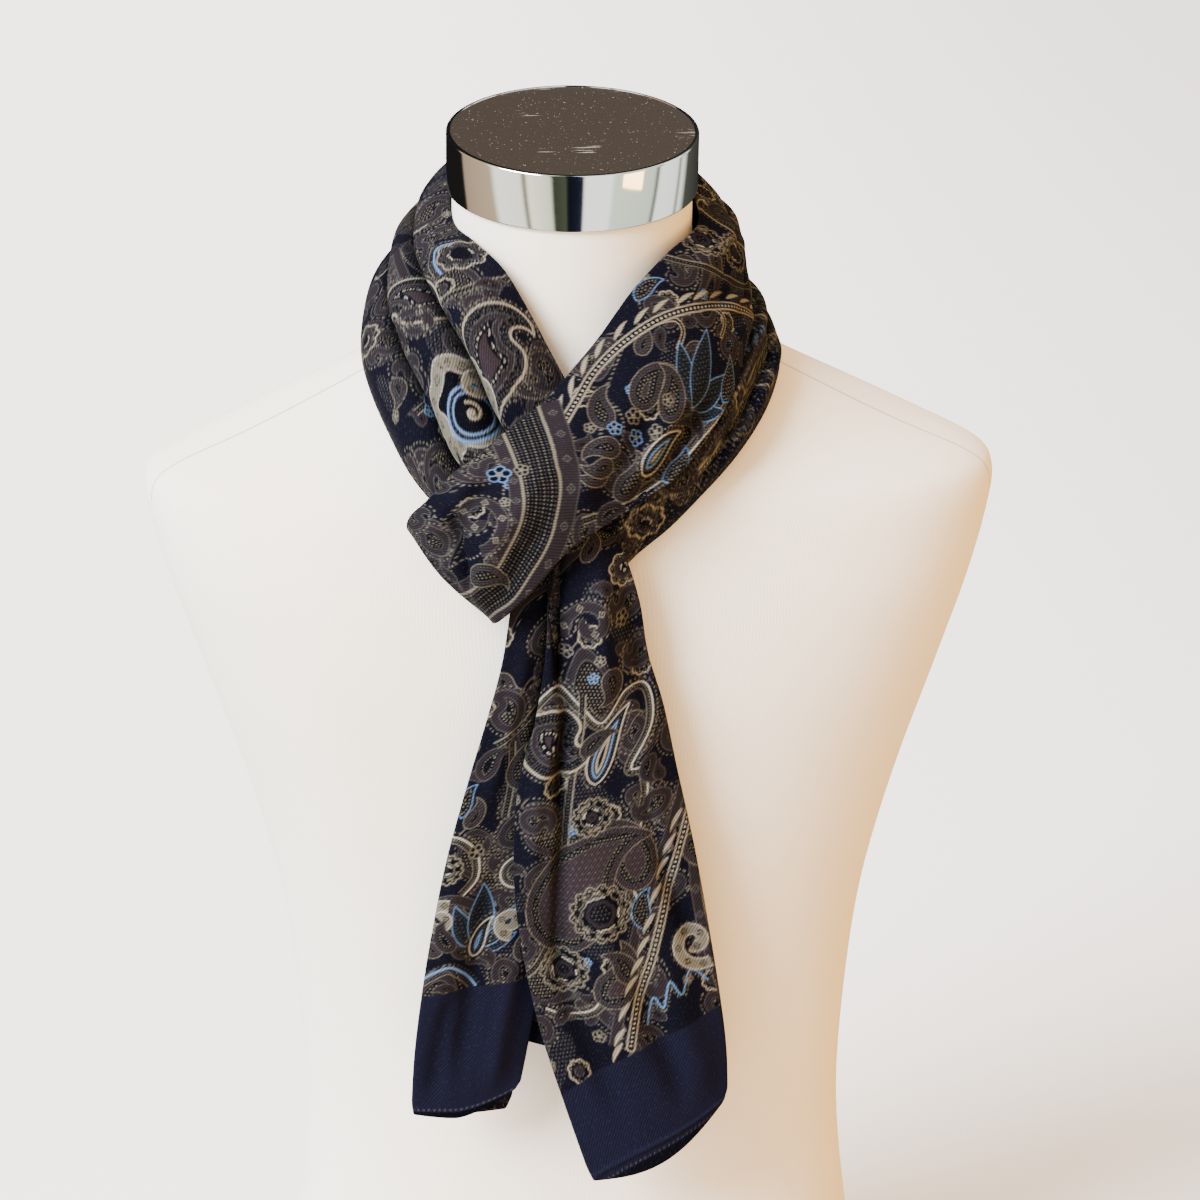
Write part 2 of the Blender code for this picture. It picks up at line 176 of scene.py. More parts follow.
# The main creases of each stretch: from across, along to across, along, then the half
# width and the height, in millimetres of cloth. Below 0 it is a trough.
CREASES = {
    "collar_left": (
        (58, 0, 66, 60, 6, 2.3), (30, 10, 34, 70, 6, 1.7), (80, 10, 96, 70, 5, 2),
        (72, 40, 74, 120, 4, -2), (20, 60, 24, 130, 5, -1.7), (92, 70, 84, 140, 6, 2),
        (46, 60, 52, 120, 5, 1.7), (10, 20, 16, 60, 5, 1.9),
    ),
    "collar_back": (
        (12, 200, 16, 300, 5, 1.7), (30, 230, 26, 360, 6, -2), (50, 190, 56, 280, 6, 1.7),
        (64, 280, 60, 380, 5, 2), (80, 200, 86, 260, 6, -1.7), (84, 290, 78, 380, 6, 1.7),
        (40, 300, 44, 390, 5, -1.7),
    ),
    "front_band": (
        (64, 606, 40, 540, 7, -3.4), (70, 600, 66, 500, 6, -3.7),
        (56, 612, 24, 560, 6, 2), (60, 600, 54, 500, 6, 2.3), (44, 600, 8, 540, 8, -1.7),
        (76, 590, 74, 480, 4, 2.6), (30, 640, 60, 690, 7, 2), (12, 620, 26, 690, 5, -2.5),
        (44, 616, 66, 680, 5, -2.4), (0, 606, 14, 660, 5, 1.7), (6, 650, 52, 686, 3, -4),
        (40, 400, 34, 490, 6, -2.4), (16, 400, 14, 480, 6, 1.7), (62, 410, 56, 500, 5, 2),
        (24, 600, 44, 660, 5, 1.7),
    ),
    "under_band": (
        (18, 60, 22, 190, 5, -4.1), (34, 70, 40, 220, 5, -4.4), (26, 80, 30, 230, 4, 3.2),
        (46, 100, 44, 230, 4, 3.5), (12, 150, 14, 260, 5, 2.3), (40, 10, 44, 90, 6, -2.7),
    ),
    "tail_right": (
        (-4, 0, 12, 96, 3.6, -7.6), (11, 76, 26, 165, 3.4, -6.1),
        (26, 140, 16, 240, 4, -4.8), (22, 10, 34, 100, 6, 3.8),
        (34, 20, 62, 120, 5, -3.1), (48, 60, 80, 200, 8, 3.2),
        (60, 120, 92, 250, 5, -3.4), (40, 160, 44, 300, 9, 3.2),
        (8, 160, 26, 330, 6, -2.7), (72, 220, 74, 330, 8, 2.6),
        (56, 230, 58, 330, 6, -2.4), (10, 100, 8, 190, 5, 2.6),
    ),
    "tail_inner": (
        (12, 60, 18, 250, 4, -2.7), (26, 40, 26, 250, 5, 2),
    ),
    "tail_left": (
        (8, 20, 12, 140, 5, 2.3), (20, 10, 30, 120, 4, -3.7), (36, 60, 44, 200, 5, 2.6),
        (2, 110, 10, 250, 7, 2.3), (24, 150, 22, 290, 6, -3.1),
        (46, 190, 40, 296, 6, 2.6), (14, 220, 8, 296, 5, -2),
    ),
}

# ---- the form ----
FORM_COLUMNS = ("z", "half_width", "front", "back", "square", "tilt")
NECK_TILT = math.radians(10)
FORM_SECTIONS = (
    (0, 161, -104, 106, 2.3, 0), (60, 155, -101, 104, 2.3, 0),
    (120, 147.5, -97, 95, 2.3, 0), (170, 145, -96, 89, 2.3, 0),
    (235, 149.5, -100, 90, 2.3, 0), (290, 157.5, -106, 96, 2.4, 0),
    (350, 173.5, -113, 105, 2.5, 0), (410, 194, -117, 112, 2.6, 0),
    (455, 210, -114.5, 113, 2.6, 0), (488, 220, -109, 109, 2.4, 0),
    (508, 223, -104, 105, 2.2, 0), (520, 215, -101, 101, 1.9, 0),
    (536, 186, -97, 96, 1.6, 0), (554, 150, -93, 89, 1.5, 0),
    (572, 112, -88, 80, 1.6, .1), (588, 84, -84, 69, 1.8, .3),
    (604, 69, -83, 57, 1.95, .6), (626, 62.5, -83, 46, 2.0, 1),
    (662.6, 61.5, -84.2, 38.8, 2.0, 1),
)
FORM_STEPS = 192, 150   # points round the form and up it
FORM_GIRTH = 1.15       # metres round the chest, where the jersey's ribs are straight
CAP_RADIUS, CAP_HEIGHT, CAP_TOP = 64.5, 30.5, (0.0, -28.0, 693.0)
CAP_SIDES, CAP_EDGE = 160, 1.1              # faces round it, and the rounded rims
CAP_SUNK = (0.9, 0), (0.3, -0.3)            # the top: steps inwards and up
CAP_UNDERCUT = (2.2, 0), (0.2, -1.0)        # the same, under the cap


# ---- colours and nodes ----

def linear(code):
    """An sRGB hex colour as linear red, green and blue."""
    values = [int(code[i:i + 2], 16) / 255 for i in (0, 2, 4)]
    return [v / 12.92 if v <= 0.04045 else ((v + 0.055) / 1.055) ** 2.4 for v in values]


def add_node(tree, kind, inputs=(), **settings):
    """Add a node with its settings; an input is a value or the socket that feeds it."""
    node = tree.nodes.new(kind)
    for name, value in settings.items():
        setattr(node, name, value)
    for name, value in dict(inputs).items():
        if isinstance(value, bpy.types.NodeSocket):
            tree.links.new(value, node.inputs[name])
        else:
            node.inputs[name].default_value = value
    return node


def rgba(code):
    """An sRGB hex colour as linear red, green, blue and alpha, for a node."""
    return (*linear(code), 1)


def math_node(tree, operation, *values):
    """The result of one operation on values, each a number or a socket."""
    return add_node(tree, "ShaderNodeMath", dict(enumerate(values)),
                    operation=operation).outputs[0]


def noise(tree, place, scale, detail):
    """Cloudy values from 0 to 1 over a place."""
    return add_node(tree, "ShaderNodeTexNoise", {"Vector": place, "Scale": scale,
                                                 "Detail": detail}).outputs["Fac"]


def stretched(tree, value, low, high, to=(0.0, 1.0)):
    """A value whose range from low to high is put on another range."""
    return add_node(tree, "ShaderNodeMapRange", {
        "Value": value, "From Min": low, "From Max": high, "To Min": to[0],
        "To Max": to[1]}).outputs[0]


def blend(tree, share, first, second):
    """A colour between two, each a colour or a socket."""
    return add_node(tree, "ShaderNodeMix", {0: share, 6: first, 7: second},
                    data_type="RGBA").outputs[2]


def ribbed(tree, place, step, **more):
    """Even ribs across a place, a step in metres apart."""
    return add_node(tree, "ShaderNodeTexWave",
                    {"Vector": place, "Scale": 2 * math.pi / (20 * step), **more},
                    bands_direction="X").outputs["Fac"]


def empty_tree(owner):
    """Clear the nodes of a material or the world, and add a node of its places."""
    owner.use_nodes = True
    owner.node_tree.nodes.clear()
    return owner.node_tree, add_node(owner.node_tree, "ShaderNodeTexCoord").outputs


def new_material(name):
    """An empty material, its tree and the places on the piece."""
    material = bpy.data.materials.new(name)
    return material, *empty_tree(material)


def show_surface(tree, kind="ShaderNodeOutputMaterial", shader=None, **inputs):
    """Join a shader, or else a principled one with these inputs, to the output."""
    if shader is None:
        inputs = {name.replace("_", " "): value for name, value in inputs.items()}
        shader = add_node(tree, "ShaderNodeBsdfPrincipled", inputs).outputs[0]
    tree.links.new(shader, add_node(tree, kind).inputs["Surface"])


# ---- settings ----

class ScarfCloth(bpy.types.PropertyGroup):
    """The printed wool."""
    wall: bpy.props.FloatProperty(
        name="Cloth", description="Thickness of the wool with its nap",
        default=0.0007, subtype="DISTANCE", unit="LENGTH")
    turn: bpy.props.FloatProperty(
        name="Fold radius", description="Half of the thickness of a folded edge",
        default=0.0016, subtype="DISTANCE", unit="LENGTH")
    twill: bpy.props.FloatProperty(
        name="Twill", description="Distance between two twill lines, drawn coarse",
        default=0.0014, subtype="DISTANCE", unit="LENGTH")
    border: bpy.props.FloatProperty(
        name="Border", description="Length of the plain end of each tail",
        default=0.075, subtype="DISTANCE", unit="LENGTH")
    detail: bpy.props.FloatProperty(
        name="Detail", description="Distance between the points that carry the print",
        default=0.0006, subtype="DISTANCE", unit="LENGTH")


class ScarfStage(bpy.types.PropertyGroup):
    """The light and the floor."""
    key: bpy.props.FloatProperty(
        name="Key light", description="Strength of the soft light from the upper left",
        default=13.8)
    fill: bpy.props.FloatProperty(
        name="Fill light", description="Strength of the warm light from the right",
        default=8.0, subtype="POWER", unit="POWER")
    air: bpy.props.FloatProperty(
        name="Studio air", description="Strength of the even light from all round",
        default=2.35)


# ---- shaping a stretch of cloth ----

def smooth(table, places):
    """Read a table at any places between its rows, along a smooth curve."""
    rows = np.array(table, float)
    last = len(rows) - 1
    i = np.clip(places.astype(int), 0, last - 1)
    f = (places - i)[:, None]
    before, here = rows[np.maximum(i - 1, 0)], rows[i]
    ahead, beyond = rows[i + 1], rows[np.minimum(i + 2, last)]
    cube = 3 * here - before - 3 * ahead + beyond
    square = 2 * before - 5 * here + 4 * ahead - beyond
    return here + 0.5 * f * (ahead - before + f * (square + f * cube))


def middle_line(table, places):
    rows = smooth(table, places)
    return (rows[:, 0:3] + rows[:, 3:6]) / 2


def odd_count(length, spacing, least):
    """An odd number of points, about a spacing apart: the inner side has every second."""
    return 2 * max(int(length / spacing / 2), least) + 1


def even_places(table, first, last, spacing):
    """Places between two rows of a table, evenly spaced in millimetres, and the
    lengths along the stretch where they lie."""
    dense = np.linspace(0, len(table) - 1, MEASURED_POINTS)
    steps = np.linalg.norm(np.diff(middle_line(table, dense), axis=0), axis=1)
    lengths = np.concatenate([[0], np.cumsum(steps)])
    start, end = np.interp([first, last], dense, lengths)
    along = np.linspace(start, end, odd_count(end - start, spacing, 2))
    return np.interp(along, lengths, dense), along


def across_stations(face_steps, flap_steps):
    """Columns of a section, from the flap under the edge a round to the flap under b:
    the share of the width, the share of each flap, and the offset across and the depth
    in fold radii."""
    turn = np.linspace(0, math.pi, TURN_POINTS)
    columns = [(0, f, 0, 0, -2) for f in np.linspace(1, 0, flap_steps[0])[:-1]]
    columns += [(0, 0, 0, -math.sin(k), -1 - math.cos(k)) for k in turn[:-1]]
    columns += [(f, 0, 0, 0, 0) for f in np.linspace(0, 1, face_steps)]
    columns += [(1, 0, 0, math.sin(k), -1 - math.cos(k)) for k in turn[-2::-1]]
    columns += [(1, 0, f, 0, -2) for f in np.linspace(0, 1, flap_steps[1])[1:]]
    return np.array(columns, float).T


def pleat_shares(station, row):
    """Where each column lies across each row. The columns keep to the valleys, and
    gather on the steep sides of a pleat. Also the place inside the pleat, the pleat's
    number and the two valleys' columns."""
    middles = np.array([0, row["valley_1"].mean(), row["valley_2"].mean(), 1])
    face = np.nonzero((station > 0) & (station < 1))[0]
    valleys = [face[np.abs(station[face] - middle).argmin()] for middle in middles[1:3]]
    station[valleys] = middles[1:3]
    number = np.clip(np.searchsorted(middles, station, side="right") - 1, 0, 2)
    local = (station - middles[number]) / (middles[number + 1] - middles[number])
    local = local[None]
    gather = np.clip(row["pleat"] / GATHER_PLEAT, 0, 1)
    local = local + gather * ((1 - np.cos(math.pi * local)) / 2 - local)
    ends = np.concatenate([np.zeros_like(gather), row["valley_1"], row["valley_2"],
                           np.ones_like(gather)], axis=1)
    share = ends[:, number] + (ends[:, number + 1] - ends[:, number]) * local
    return share, local, number, valleys


def stretch_frame(table, places, row):
    """The edges a and b of each section, and the ways it runs along and faces out."""
    a, b = (np.stack([row[edge + axis] for axis in "xyz"], axis=2) for edge in "ab")
    top = len(table) - 1
    ahead = middle_line(table, np.clip(places + NEXT_PLACE, 0, top))
    behind = middle_line(table, np.clip(places - NEXT_PLACE, 0, top))
    along = (ahead - behind)[:, None]
    along /= np.linalg.norm(along, axis=2, keepdims=True)
    facing = np.cross(b - a, along)
    facing /= np.linalg.norm(facing, axis=2, keepdims=True)
    first = middle_line(table, np.array([0.0, 2 * NEXT_PLACE]))
    start = smooth(table, np.array([0.0]))[0]
    outward = np.cross(start[3:6] - start[0:3], first[1] - first[0])
    facing *= math.copysign(1, outward @ (first[0] - np.array(NECK_MIDDLE)))
    return a, b, along, facing


def painted_fold_shade(x, push, pleat, valleys):
    """The share of its colour that each point keeps under the painted shade of creases and
    pleat valleys.
    """
    in_fold = np.clip(-push / DARK_CREASE, 0, MOST_IN_CREASE)
    for column in valleys:
        away = x - x[:, column:column + 1]
        reach = np.where(away > 0, *DARK_REACHES)
        in_fold += (DARK_VALLEY * np.exp(-(away / reach) ** 2)
                    * np.clip(pleat / DARK_PLEAT, 0, 1))
    return np.clip(1 - in_fold, DARKEST, 1)


def run_lengths(points, axis):
    """The lengths from the first point on, along one axis of a grid of points."""
    steps = np.linalg.norm(np.diff(points, axis=axis), axis=2)
    return np.insert(np.cumsum(steps, axis=axis), 0, 0, axis=axis)


def stretch_points(name, table, rows, spacing, flaps, cloth, lift=0.0, anchor=None,
                   across=1.0, hem=False, corner=0.0):
    """The points of one stretch: their places in millimetres, their places x, y on the
    flat cloth, and the share of colour that the painted fold shade leaves at each. flaps
    are how far each edge goes back under, in millimetres, or as a share of the width
    where it is below 1. corner is how far the hem's far corner is curled up."""
    places, length = even_places(table, *rows, spacing)
    row = dict(zip(COLUMNS, smooth(table, places).T[:, :, None]))
    a, b, along, facing = stretch_frame(table, places, row)
    width = np.linalg.norm(b - a, axis=2)
    steps = odd_count(width.max(), spacing * across, 4)
    station, flap_a, flap_b, turn, depth = across_stations(
        steps, [FLAP_POINTS[flap <= 1] for flap in flaps])
    share, local, pleat_number, valleys = pleat_shares(station, row)
    radius = cloth.turn / MM
    under_a, under_b = (np.where(flap > 1, flap, flap * width) for flap in flaps)
    across_mm = share * width + flap_a * under_a - flap_b * under_b + turn * radius
    out = row["rise"] * np.sin(math.pi * share) + depth * radius + lift
    fold = row["pleat"] * np.abs(np.sin(math.pi * local)) ** PLEAT_POWER
    out += fold
    across_mm += np.array(PLEAT_LEANS)[pleat_number] * fold
    from_end = length[-1] - length
    if hem:
        near_end = np.clip(1 - from_end / HEM_ZONE, 0, 1)[:, None] ** 2
        side = 1 - 2 * np.clip(across_mm / width, 0, 1)
        across_mm = across_mm + np.where(side > 0, *HEM_DRAWS) * near_end * side ** 3
    bow = row["bow"] * np.sin(math.pi * np.clip(across_mm / width, 0, 1))
    points = a + (b - a) * (across_mm / width)[:, :, None] + facing * out[:, :, None]
    points = points + along * bow[:, :, None]

    x = run_lengths(points, 1)
    edge = int(np.argmax(station > 0)) - 1
    x = x - x[:, edge:edge + 1]
    y = np.repeat(length[:, None], x.shape[1], axis=1) + bow
    if anchor is not None:
        y = run_lengths(points, 0)
        y += length[anchor] - y[anchor]
    push = crease_height(x, y, CREASES.get(name, ())) * np.clip(2 * (1 + depth), 0, 1)
    if hem:
        inset, half, height = HEM_ROLL
        push += height * np.exp(-((length[-1] - inset - y) / half) ** 2)
    points = points + facing * push[:, :, None]
    if corner:
        lifted = np.clip(1 - from_end / CURL_ZONE, 0, 1)[:, None] ** CURL_POWERS[0]
        beyond = (across_mm / width - CURL_FROM) / CURL_OVER
        lifted = lifted * np.clip(beyond, 0, CURL_LIMIT) ** CURL_POWERS[1]
        lifted = (lifted * (np.arange(len(station)) >= edge))[:, :, None]
        points = points - along * corner * lifted + facing * CURL_OUT * lifted
    return points, x, y, painted_fold_shade(x, push, row["pleat"], valleys)


def crease_height(x, y, creases):
    """Soft troughs and ridges. A row: from across, along to across, along, the half
    width and the height, all in millimetres of cloth."""
    height = np.zeros_like(x)
    for from_x, from_y, to_x, to_y, half, rise in creases:
        along, across = to_y - from_y, to_x - from_x
        length = math.hypot(along, across)
        run = ((x - from_x) * across + (y - from_y) * along) / length ** 2
        away = ((x - from_x) * along - (y - from_y) * across) / length
        fade = np.clip(np.minimum(run, 1 - run) * CREASE_ENDS, 0, 1)
        fade = fade * fade * (3 - 2 * fade)
        height += rise * fade * np.exp(-(away / half) ** 2)
    return height


def vertex_normals(points):
    """The outward normals of a grid of points, whose rows run along the stretch."""
    down, right = np.gradient(points, axis=0), np.gradient(points, axis=1)
    normal = np.cross(right, down)
    return normal / np.maximum(np.linalg.norm(normal, axis=2, keepdims=True), 1e-9)


def shell_faces(rows, columns):
    """Faces of a sheet with a fine outer side, an inner side of every second point and
    a rim between them."""
    fine = np.arange(rows * columns).reshape(rows, columns)
    inner_rows, inner_columns = (rows + 1) // 2, (columns + 1) // 2
    coarse = rows * columns + np.arange(inner_rows * inner_columns)
    coarse = coarse.reshape(inner_rows, -1)
    quads = []
    for grid, order in ((fine, (0, 1, 3, 2)), (coarse, (0, 2, 3, 1))):
        corners = (grid[:-1, :-1], grid[:-1, 1:], grid[1:, :-1], grid[1:, 1:])
        quads.append(np.stack([corners[k].ravel() for k in order], axis=1))
    edges = ((fine[0], coarse[0]), (fine[:, -1], coarse[:, -1]),
             (fine[-1, ::-1], coarse[-1, ::-1]), (fine[::-1, 0], coarse[::-1, 0]))
    rim = []
    for outer, inner in edges:
        for k in range(len(inner) - 1):
            rim.append((outer[2 * k + 2], outer[2 * k + 1], outer[2 * k],
                        inner[k], inner[k + 1]))
    return quads, rim


def set_chart(mesh, name, places):
    """Give a mesh the UV map that holds a place for each of its corners."""
    layer = mesh.uv_layers.new(name=name)
    layer.data.foreach_set("uv", places.astype(np.float32).ravel())


def corner_points(mesh):
    """The number of the point at each corner of the mesh's faces."""
    corners = np.empty(len(mesh.loops), np.int32)
    mesh.loops.foreach_get("vertex_index", corners)
    return corners


def add_object(name, mesh):
    """Show a mesh as an object, and make it the only selected one."""
    mesh.update()
    piece = bpy.data.objects.new(name, mesh)
    bpy.context.collection.objects.link(piece)
    bpy.ops.object.select_all(action="DESELECT")
    piece.select_set(True)
    bpy.context.view_layer.objects.active = piece
    return piece


def both_sides(grid, inner=None):
    """The values of the outer side's points, then those of the inner side's."""
    inner = grid[::2, ::2] if inner is None else inner
    size = grid.shape[2]
    return np.concatenate([grid.reshape(-1, size), inner.reshape(-1, size)])


def cloth_piece(name, node, points, x, y, colours, cloth, materials):
    """A sheet on a grid of points, with its wall, its UV map in metres and its dyes."""
    rows, columns = x.shape
    normals = vertex_normals(points)
    outward = points[rows // 2, columns // 2] - np.array(NECK_MIDDLE)
    if normals[rows // 2, columns // 2] @ outward < 0:
        points, x, y, colours = (v[:, ::-1] for v in (points, x, y, colours))
        normals = -normals[:, ::-1]
    inner = (points - normals * cloth.wall / MM)[::2, ::2]
    (outside, inside), rim = shell_faces(rows, columns)
    mesh = bpy.data.meshes.new(name)
    mesh.from_pydata((both_sides(points, inner) * MM).tolist(), [],
                     outside.tolist() + inside.tolist() + rim)
    on_cloth = both_sides(np.stack([x, y], axis=2)) * MM
    set_chart(mesh, "cloth", on_cloth[corner_points(mesh)])
    dyed = both_sides(colours)
    shown = np.concatenate([dyed, np.ones((len(dyed), 1))], axis=1)
    dyes = mesh.color_attributes.new("print", "FLOAT_COLOR", "POINT")
    dyes.data.foreach_set("color", shown.astype(np.float32).ravel())
    for material in materials:
        mesh.materials.append(material)
    faces = np.arange(len(mesh.polygons))
    reverse = (faces >= len(outside)) & (faces < len(outside) + len(inside))
    mesh.polygons.foreach_set("material_index", reverse.astype(np.int32))
    piece = add_object(name, mesh)
    bpy.ops.object.shade_smooth()
    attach(piece, "root")
    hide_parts(node)
    return piece


# ---- the print ----
# Dyes are laid in cloth millimetres, one over the other. A layer of a motif lies from
# one depth inside its outline to another, below 0 outside it.
DYES = {name: linear(code) for name, code in (
    ("navy", "06060f"), ("ink", "030308"), ("mauve", "1a1619"), ("rose", "211a1d"),
    ("dun", "373533"), ("khaki", "534f44"), ("cream", "6e6859"), ("pale", "848074"),
    ("blue", "47607f"), ("teal", "090f16"), ("border", "0d0d1b"))}
# The layers of a motif, from its outside in: from and to what depth inside its outline,
# the dye and, where it isn't plain, the style and the distance between its repeats.
LAYERS = {
    "grand": (
        (-2.9, -2.2, "khaki", "dots", 2.3), (-0.7, 0.7, "cream"), (0.8, 5.6, "ink"),
        (1.5, 2.1, "dun", "dots", 1.8), (3.1, 3.7, "dun", "dots", 1.8),
        (4.6, 5.1, "dun", "dots", 2.2), (5.6, 6.2, "dun"), (6.2, 60, "mauve"),
        (8.4, 8.9, "dun", "scallops", 4.4), (8.9, 60, "ink", "scallops", 4.4),
        (10.6, 11.2, "pale", "dots", 2.2), (12.6, 60, "rose"),
    ),
    "dusk": (
        (-2.5, -1.9, "khaki", "dots", 2.2), (-0.3, 0.25, "dun"), (0.25, 60, "mauve"),
        (3.6, 60, "dun"), (3.95, 60, "ink"), (4.9, 5.5, "khaki", "dots", 2.2),
        (5.9, 60, "khaki", "seeds", 1.9),
    ),
    "frost": (
        (-0.3, 0.3, "blue"), (0.3, 60, "ink"), (1.3, 1.9, "khaki", "dots", 2.0),
        (2.7, 60, "khaki", "seeds", 1.9),
    ),
    "leaf": (
        (-0.25, 0.25, "dun"), (0.25, 60, "mauve"), (2.4, 60, "ink"),
        (3.0, 3.5, "khaki", "dots", 2.2),
    ),
    "shade": (
        (-0.25, 0.25, "khaki"), (0.25, 60, "mauve"), (1.4, 1.8, "dun", "dots", 2.2),
        (2.9, 3.2, "dun"), (3.2, 60, "ink"), (3.9, 60, "khaki", "seeds", 1.9),
        (6.6, 7.0, "dun"), (7.0, 60, "rose"), (7.8, 60, "dun", "seeds", 3.2),
    ),
    "petal": (
        (-0.3, 0.3, "blue"), (0.3, 60, "teal"), (1.4, 1.9, "dun", "dots", 2.2),
        (2.8, 60, "dun", "seeds", 2.4),
    ),
    "sprout": (
        (-0.1, 60, "cream"),
    ),
    "flame": (
        (-2.9, -2.3, "khaki", "dots", 2.3), (-0.5, 0.3, "pale"), (0.3, 60, "ink"),
        (1.3, 1.8, "dun", "dots", 1.8), (2.4, 60, "blue"), (3.3, 60, "ink"),
        (4.2, 60, "cream"), (5.4, 60, "ink"),
    ),
    "bloom": (
        (-0.3, 0.6, "cream"), (0.6, 2.6, "ink"), (1.2, 1.9, "khaki", "dots", 2.4),
        (2.6, 3.0, "dun"), (3.0, 60, "mauve"), (5.0, 60, "ink"),
        (5.6, 6.2, "pale", "dots", 2.0),
    ),
    "lace": (
        (-0.4, 0.5, "khaki"), (0.5, 60, "ink"), (1.2, 2.6, "khaki", "dots", 3.0),
        (3.3, 3.7, "khaki"), (4.5, 5.1, "pale", "dots", 2.0), (6.2, 60, "mauve"),
        (8.2, 60, "ink"), (9.0, 60, "dun", "seeds", 2.2),
    ),
    "frill": (
        (-2.6, -2.0, "dun", "dots", 2.4), (-0.4, 0.4, "pale"), (0.4, 8.2, "khaki"),
        (2.1, 6.3, "ink", "rings", 8.6), (8.2, 8.8, "pale"), (8.8, 60, "ink"),
    ),
    "shell": (
        (-0.5, 1.0, "blue"), (1.0, 3.0, "ink"), (1.6, 2.1, "dun", "dots", 1.8),
        (3.0, 4.2, "blue"), (4.2, 60, "ink"),
    ),
    "stem": (
        (-2.4, -1.5, "cream"), (-1.5, 1.5, "ink"), (-0.5, 0.5, "pale", "dots", 2.6),
        (1.5, 2.4, "cream"),
    ),
    "stripes": (
        (-19.0, -9.6, "mauve"), (-18.9, -18.5, "dun"),
        (-16.2, -12.2, "dun", "rings", 15.0), (-9.6, -8.1, "khaki"), (-8.1, 8.1, "ink"),
        (-7.1, -6.5, "dun", "dots", 1.9), (-5.1, -4.5, "khaki", "dots", 1.9),
        (-3.1, -2.5, "dun", "dots", 1.9), (-1.2, -0.6, "khaki", "dots", 1.9),
        (0.7, 1.3, "dun", "dots", 1.9), (2.7, 3.3, "khaki", "dots", 1.9),
        (4.6, 5.2, "dun", "dots", 1.9), (6.5, 7.1, "khaki", "dots", 1.9),
        (8.1, 9.6, "khaki"), (9.6, 15.0, "mauve"), (10.4, 14.2, "dun", "rings", 13.0),
        (14.8, 15.2, "dun"),
    ),
    "braid": (
        (-1.9, -1.0, "khaki"), (-1.0, 1.4, "ink"), (-0.2, 0.5, "dun", "dots", 1.9),
        (1.4, 1.8, "khaki"), (3.0, 3.5, "dun", "dots", 2.3),
    ),
    "ribbon": (
        (-2.5, 2.5, "mauve"), (-2.7, -2.3, "dun"), (2.3, 2.7, "dun"),
        (3.8, 4.4, "dun", "dots", 2.3),
    ),
    "arch": (
        (-0.6, 0.4, "pale"), (0.4, 3.0, "ink"), (1.0, 1.5, "khaki", "dots", 1.5),
        (2.0, 2.4, "dun", "dots", 1.5), (3.0, 3.4, "khaki"),
        (-3.0, -2.3, "khaki", "dots", 2.2),
    ),
    "curl": (
        (-1.2, -0.6, "cream"), (-0.6, 0.6, "ink"), (0.6, 1.2, "cream"),
    ),
    "arcs": (
        (-0.6, 0.7, "blue"), (1.8, 2.3, "dun", "dots", 2.0), (3.4, 3.8, "khaki"),
        (-2.4, -1.9, "dun", "dots", 2.2),
    ),
    "zigzag": (
        (-0.5, 0.4, "blue"), (1.4, 2.0, "khaki", "dots", 2.2),
    ),
    "beads": (
        (-0.4, 0.4, "khaki", "dots", 2.3),
    ),
    "hook": (
        (-2.8, 2.8, "khaki"), (-3.1, -2.6, "pale"), (2.6, 3.1, "pale"),
        (-1.7, 1.7, "ink", "rings", 9.0), (-4.4, -3.8, "dun", "dots", 2.2),
    ),
    "swirl": (
        (-2.6, 2.4, "mauve"), (-2.8, -2.4, "dun"), (2.2, 2.6, "dun"),
        (-4.4, -3.8, "khaki", "dots", 2.1), (-1.7, 1.7, "khaki", "rings", 12.0),
    ),
    "scroll": (
        (-0.8, 0.8, "cream"),
    ),
}
# Leaves and drops: half width for a length of 1, the bend of the tip in degrees, and
# where they are fullest (lower is nearer to the base).
SHAPES = {
    "grand": (0.29, 190, 0.50), "dusk": (0.27, 210, 0.50), "frost": (0.20, 60, 0.75),
    "leaf": (0.22, 110, 0.65), "shade": (0.23, 95, 0.60), "petal": (0.17, 14, 0.85),
    "sprout": (0.085, 24, 0.80), "flame": (0.145, 34, 0.62),
}
# Round motifs: their petals and their layers.
ROUNDS = {"bloom": (8, "bloom"), "lace": (14, "lace"), "ring": (0, "arch")}
PETAL_DEPTH = 0.16      # how deep the notches between petals are, as a share of the radius
SPIRAL_SHRINK = 0.22    # how fast a spiral's radius falls off as it turns
# The rest is in millimetres of cloth.
SOFT_EDGE = 0.64        # how wide the edge of a dye is
SEED_RADIUS = 0.4
SHAPE_REACH = 3.5       # how far a shape's layers reach outside it
WIDE_LINE = 3           # from its middle to its edge
END_CUT = 0.05          # taken off each end of a wide line
STEM_GAP = 4.2          # from a stem's middle to the base of its leaves
STEM_TURN = 24          # how far the leaves turn from the stem, in degrees


def covered(distance):
    """How much a dye covers a point this far outside its edge, in millimetres."""
    return np.clip(0.5 - distance / SOFT_EDGE, 0, 1)


def nearest_on(points, line):
    """For each point: the distance to a line, signed by its side, and how far along."""
    run = np.diff(line, axis=0)
    length = np.maximum(np.hypot(*run.T), 1e-6)
    away = points[:, None] - line[None, :-1]
    share = np.clip((away * run).sum(axis=2) / length ** 2, 0, 1)
    gap = away - share[..., None] * run
    distance = np.hypot(gap[..., 0], gap[..., 1])
    near = distance.argmin(axis=1)
    each = np.arange(len(points))
    side = run[near, 0] * away[each, near, 1] - run[near, 1] * away[each, near, 0]
    reached = np.concatenate([[0], np.cumsum(length)[:-1]])
    along = reached[near] + share[each, near] * length[near]
    return np.copysign(distance[each, near], side), along


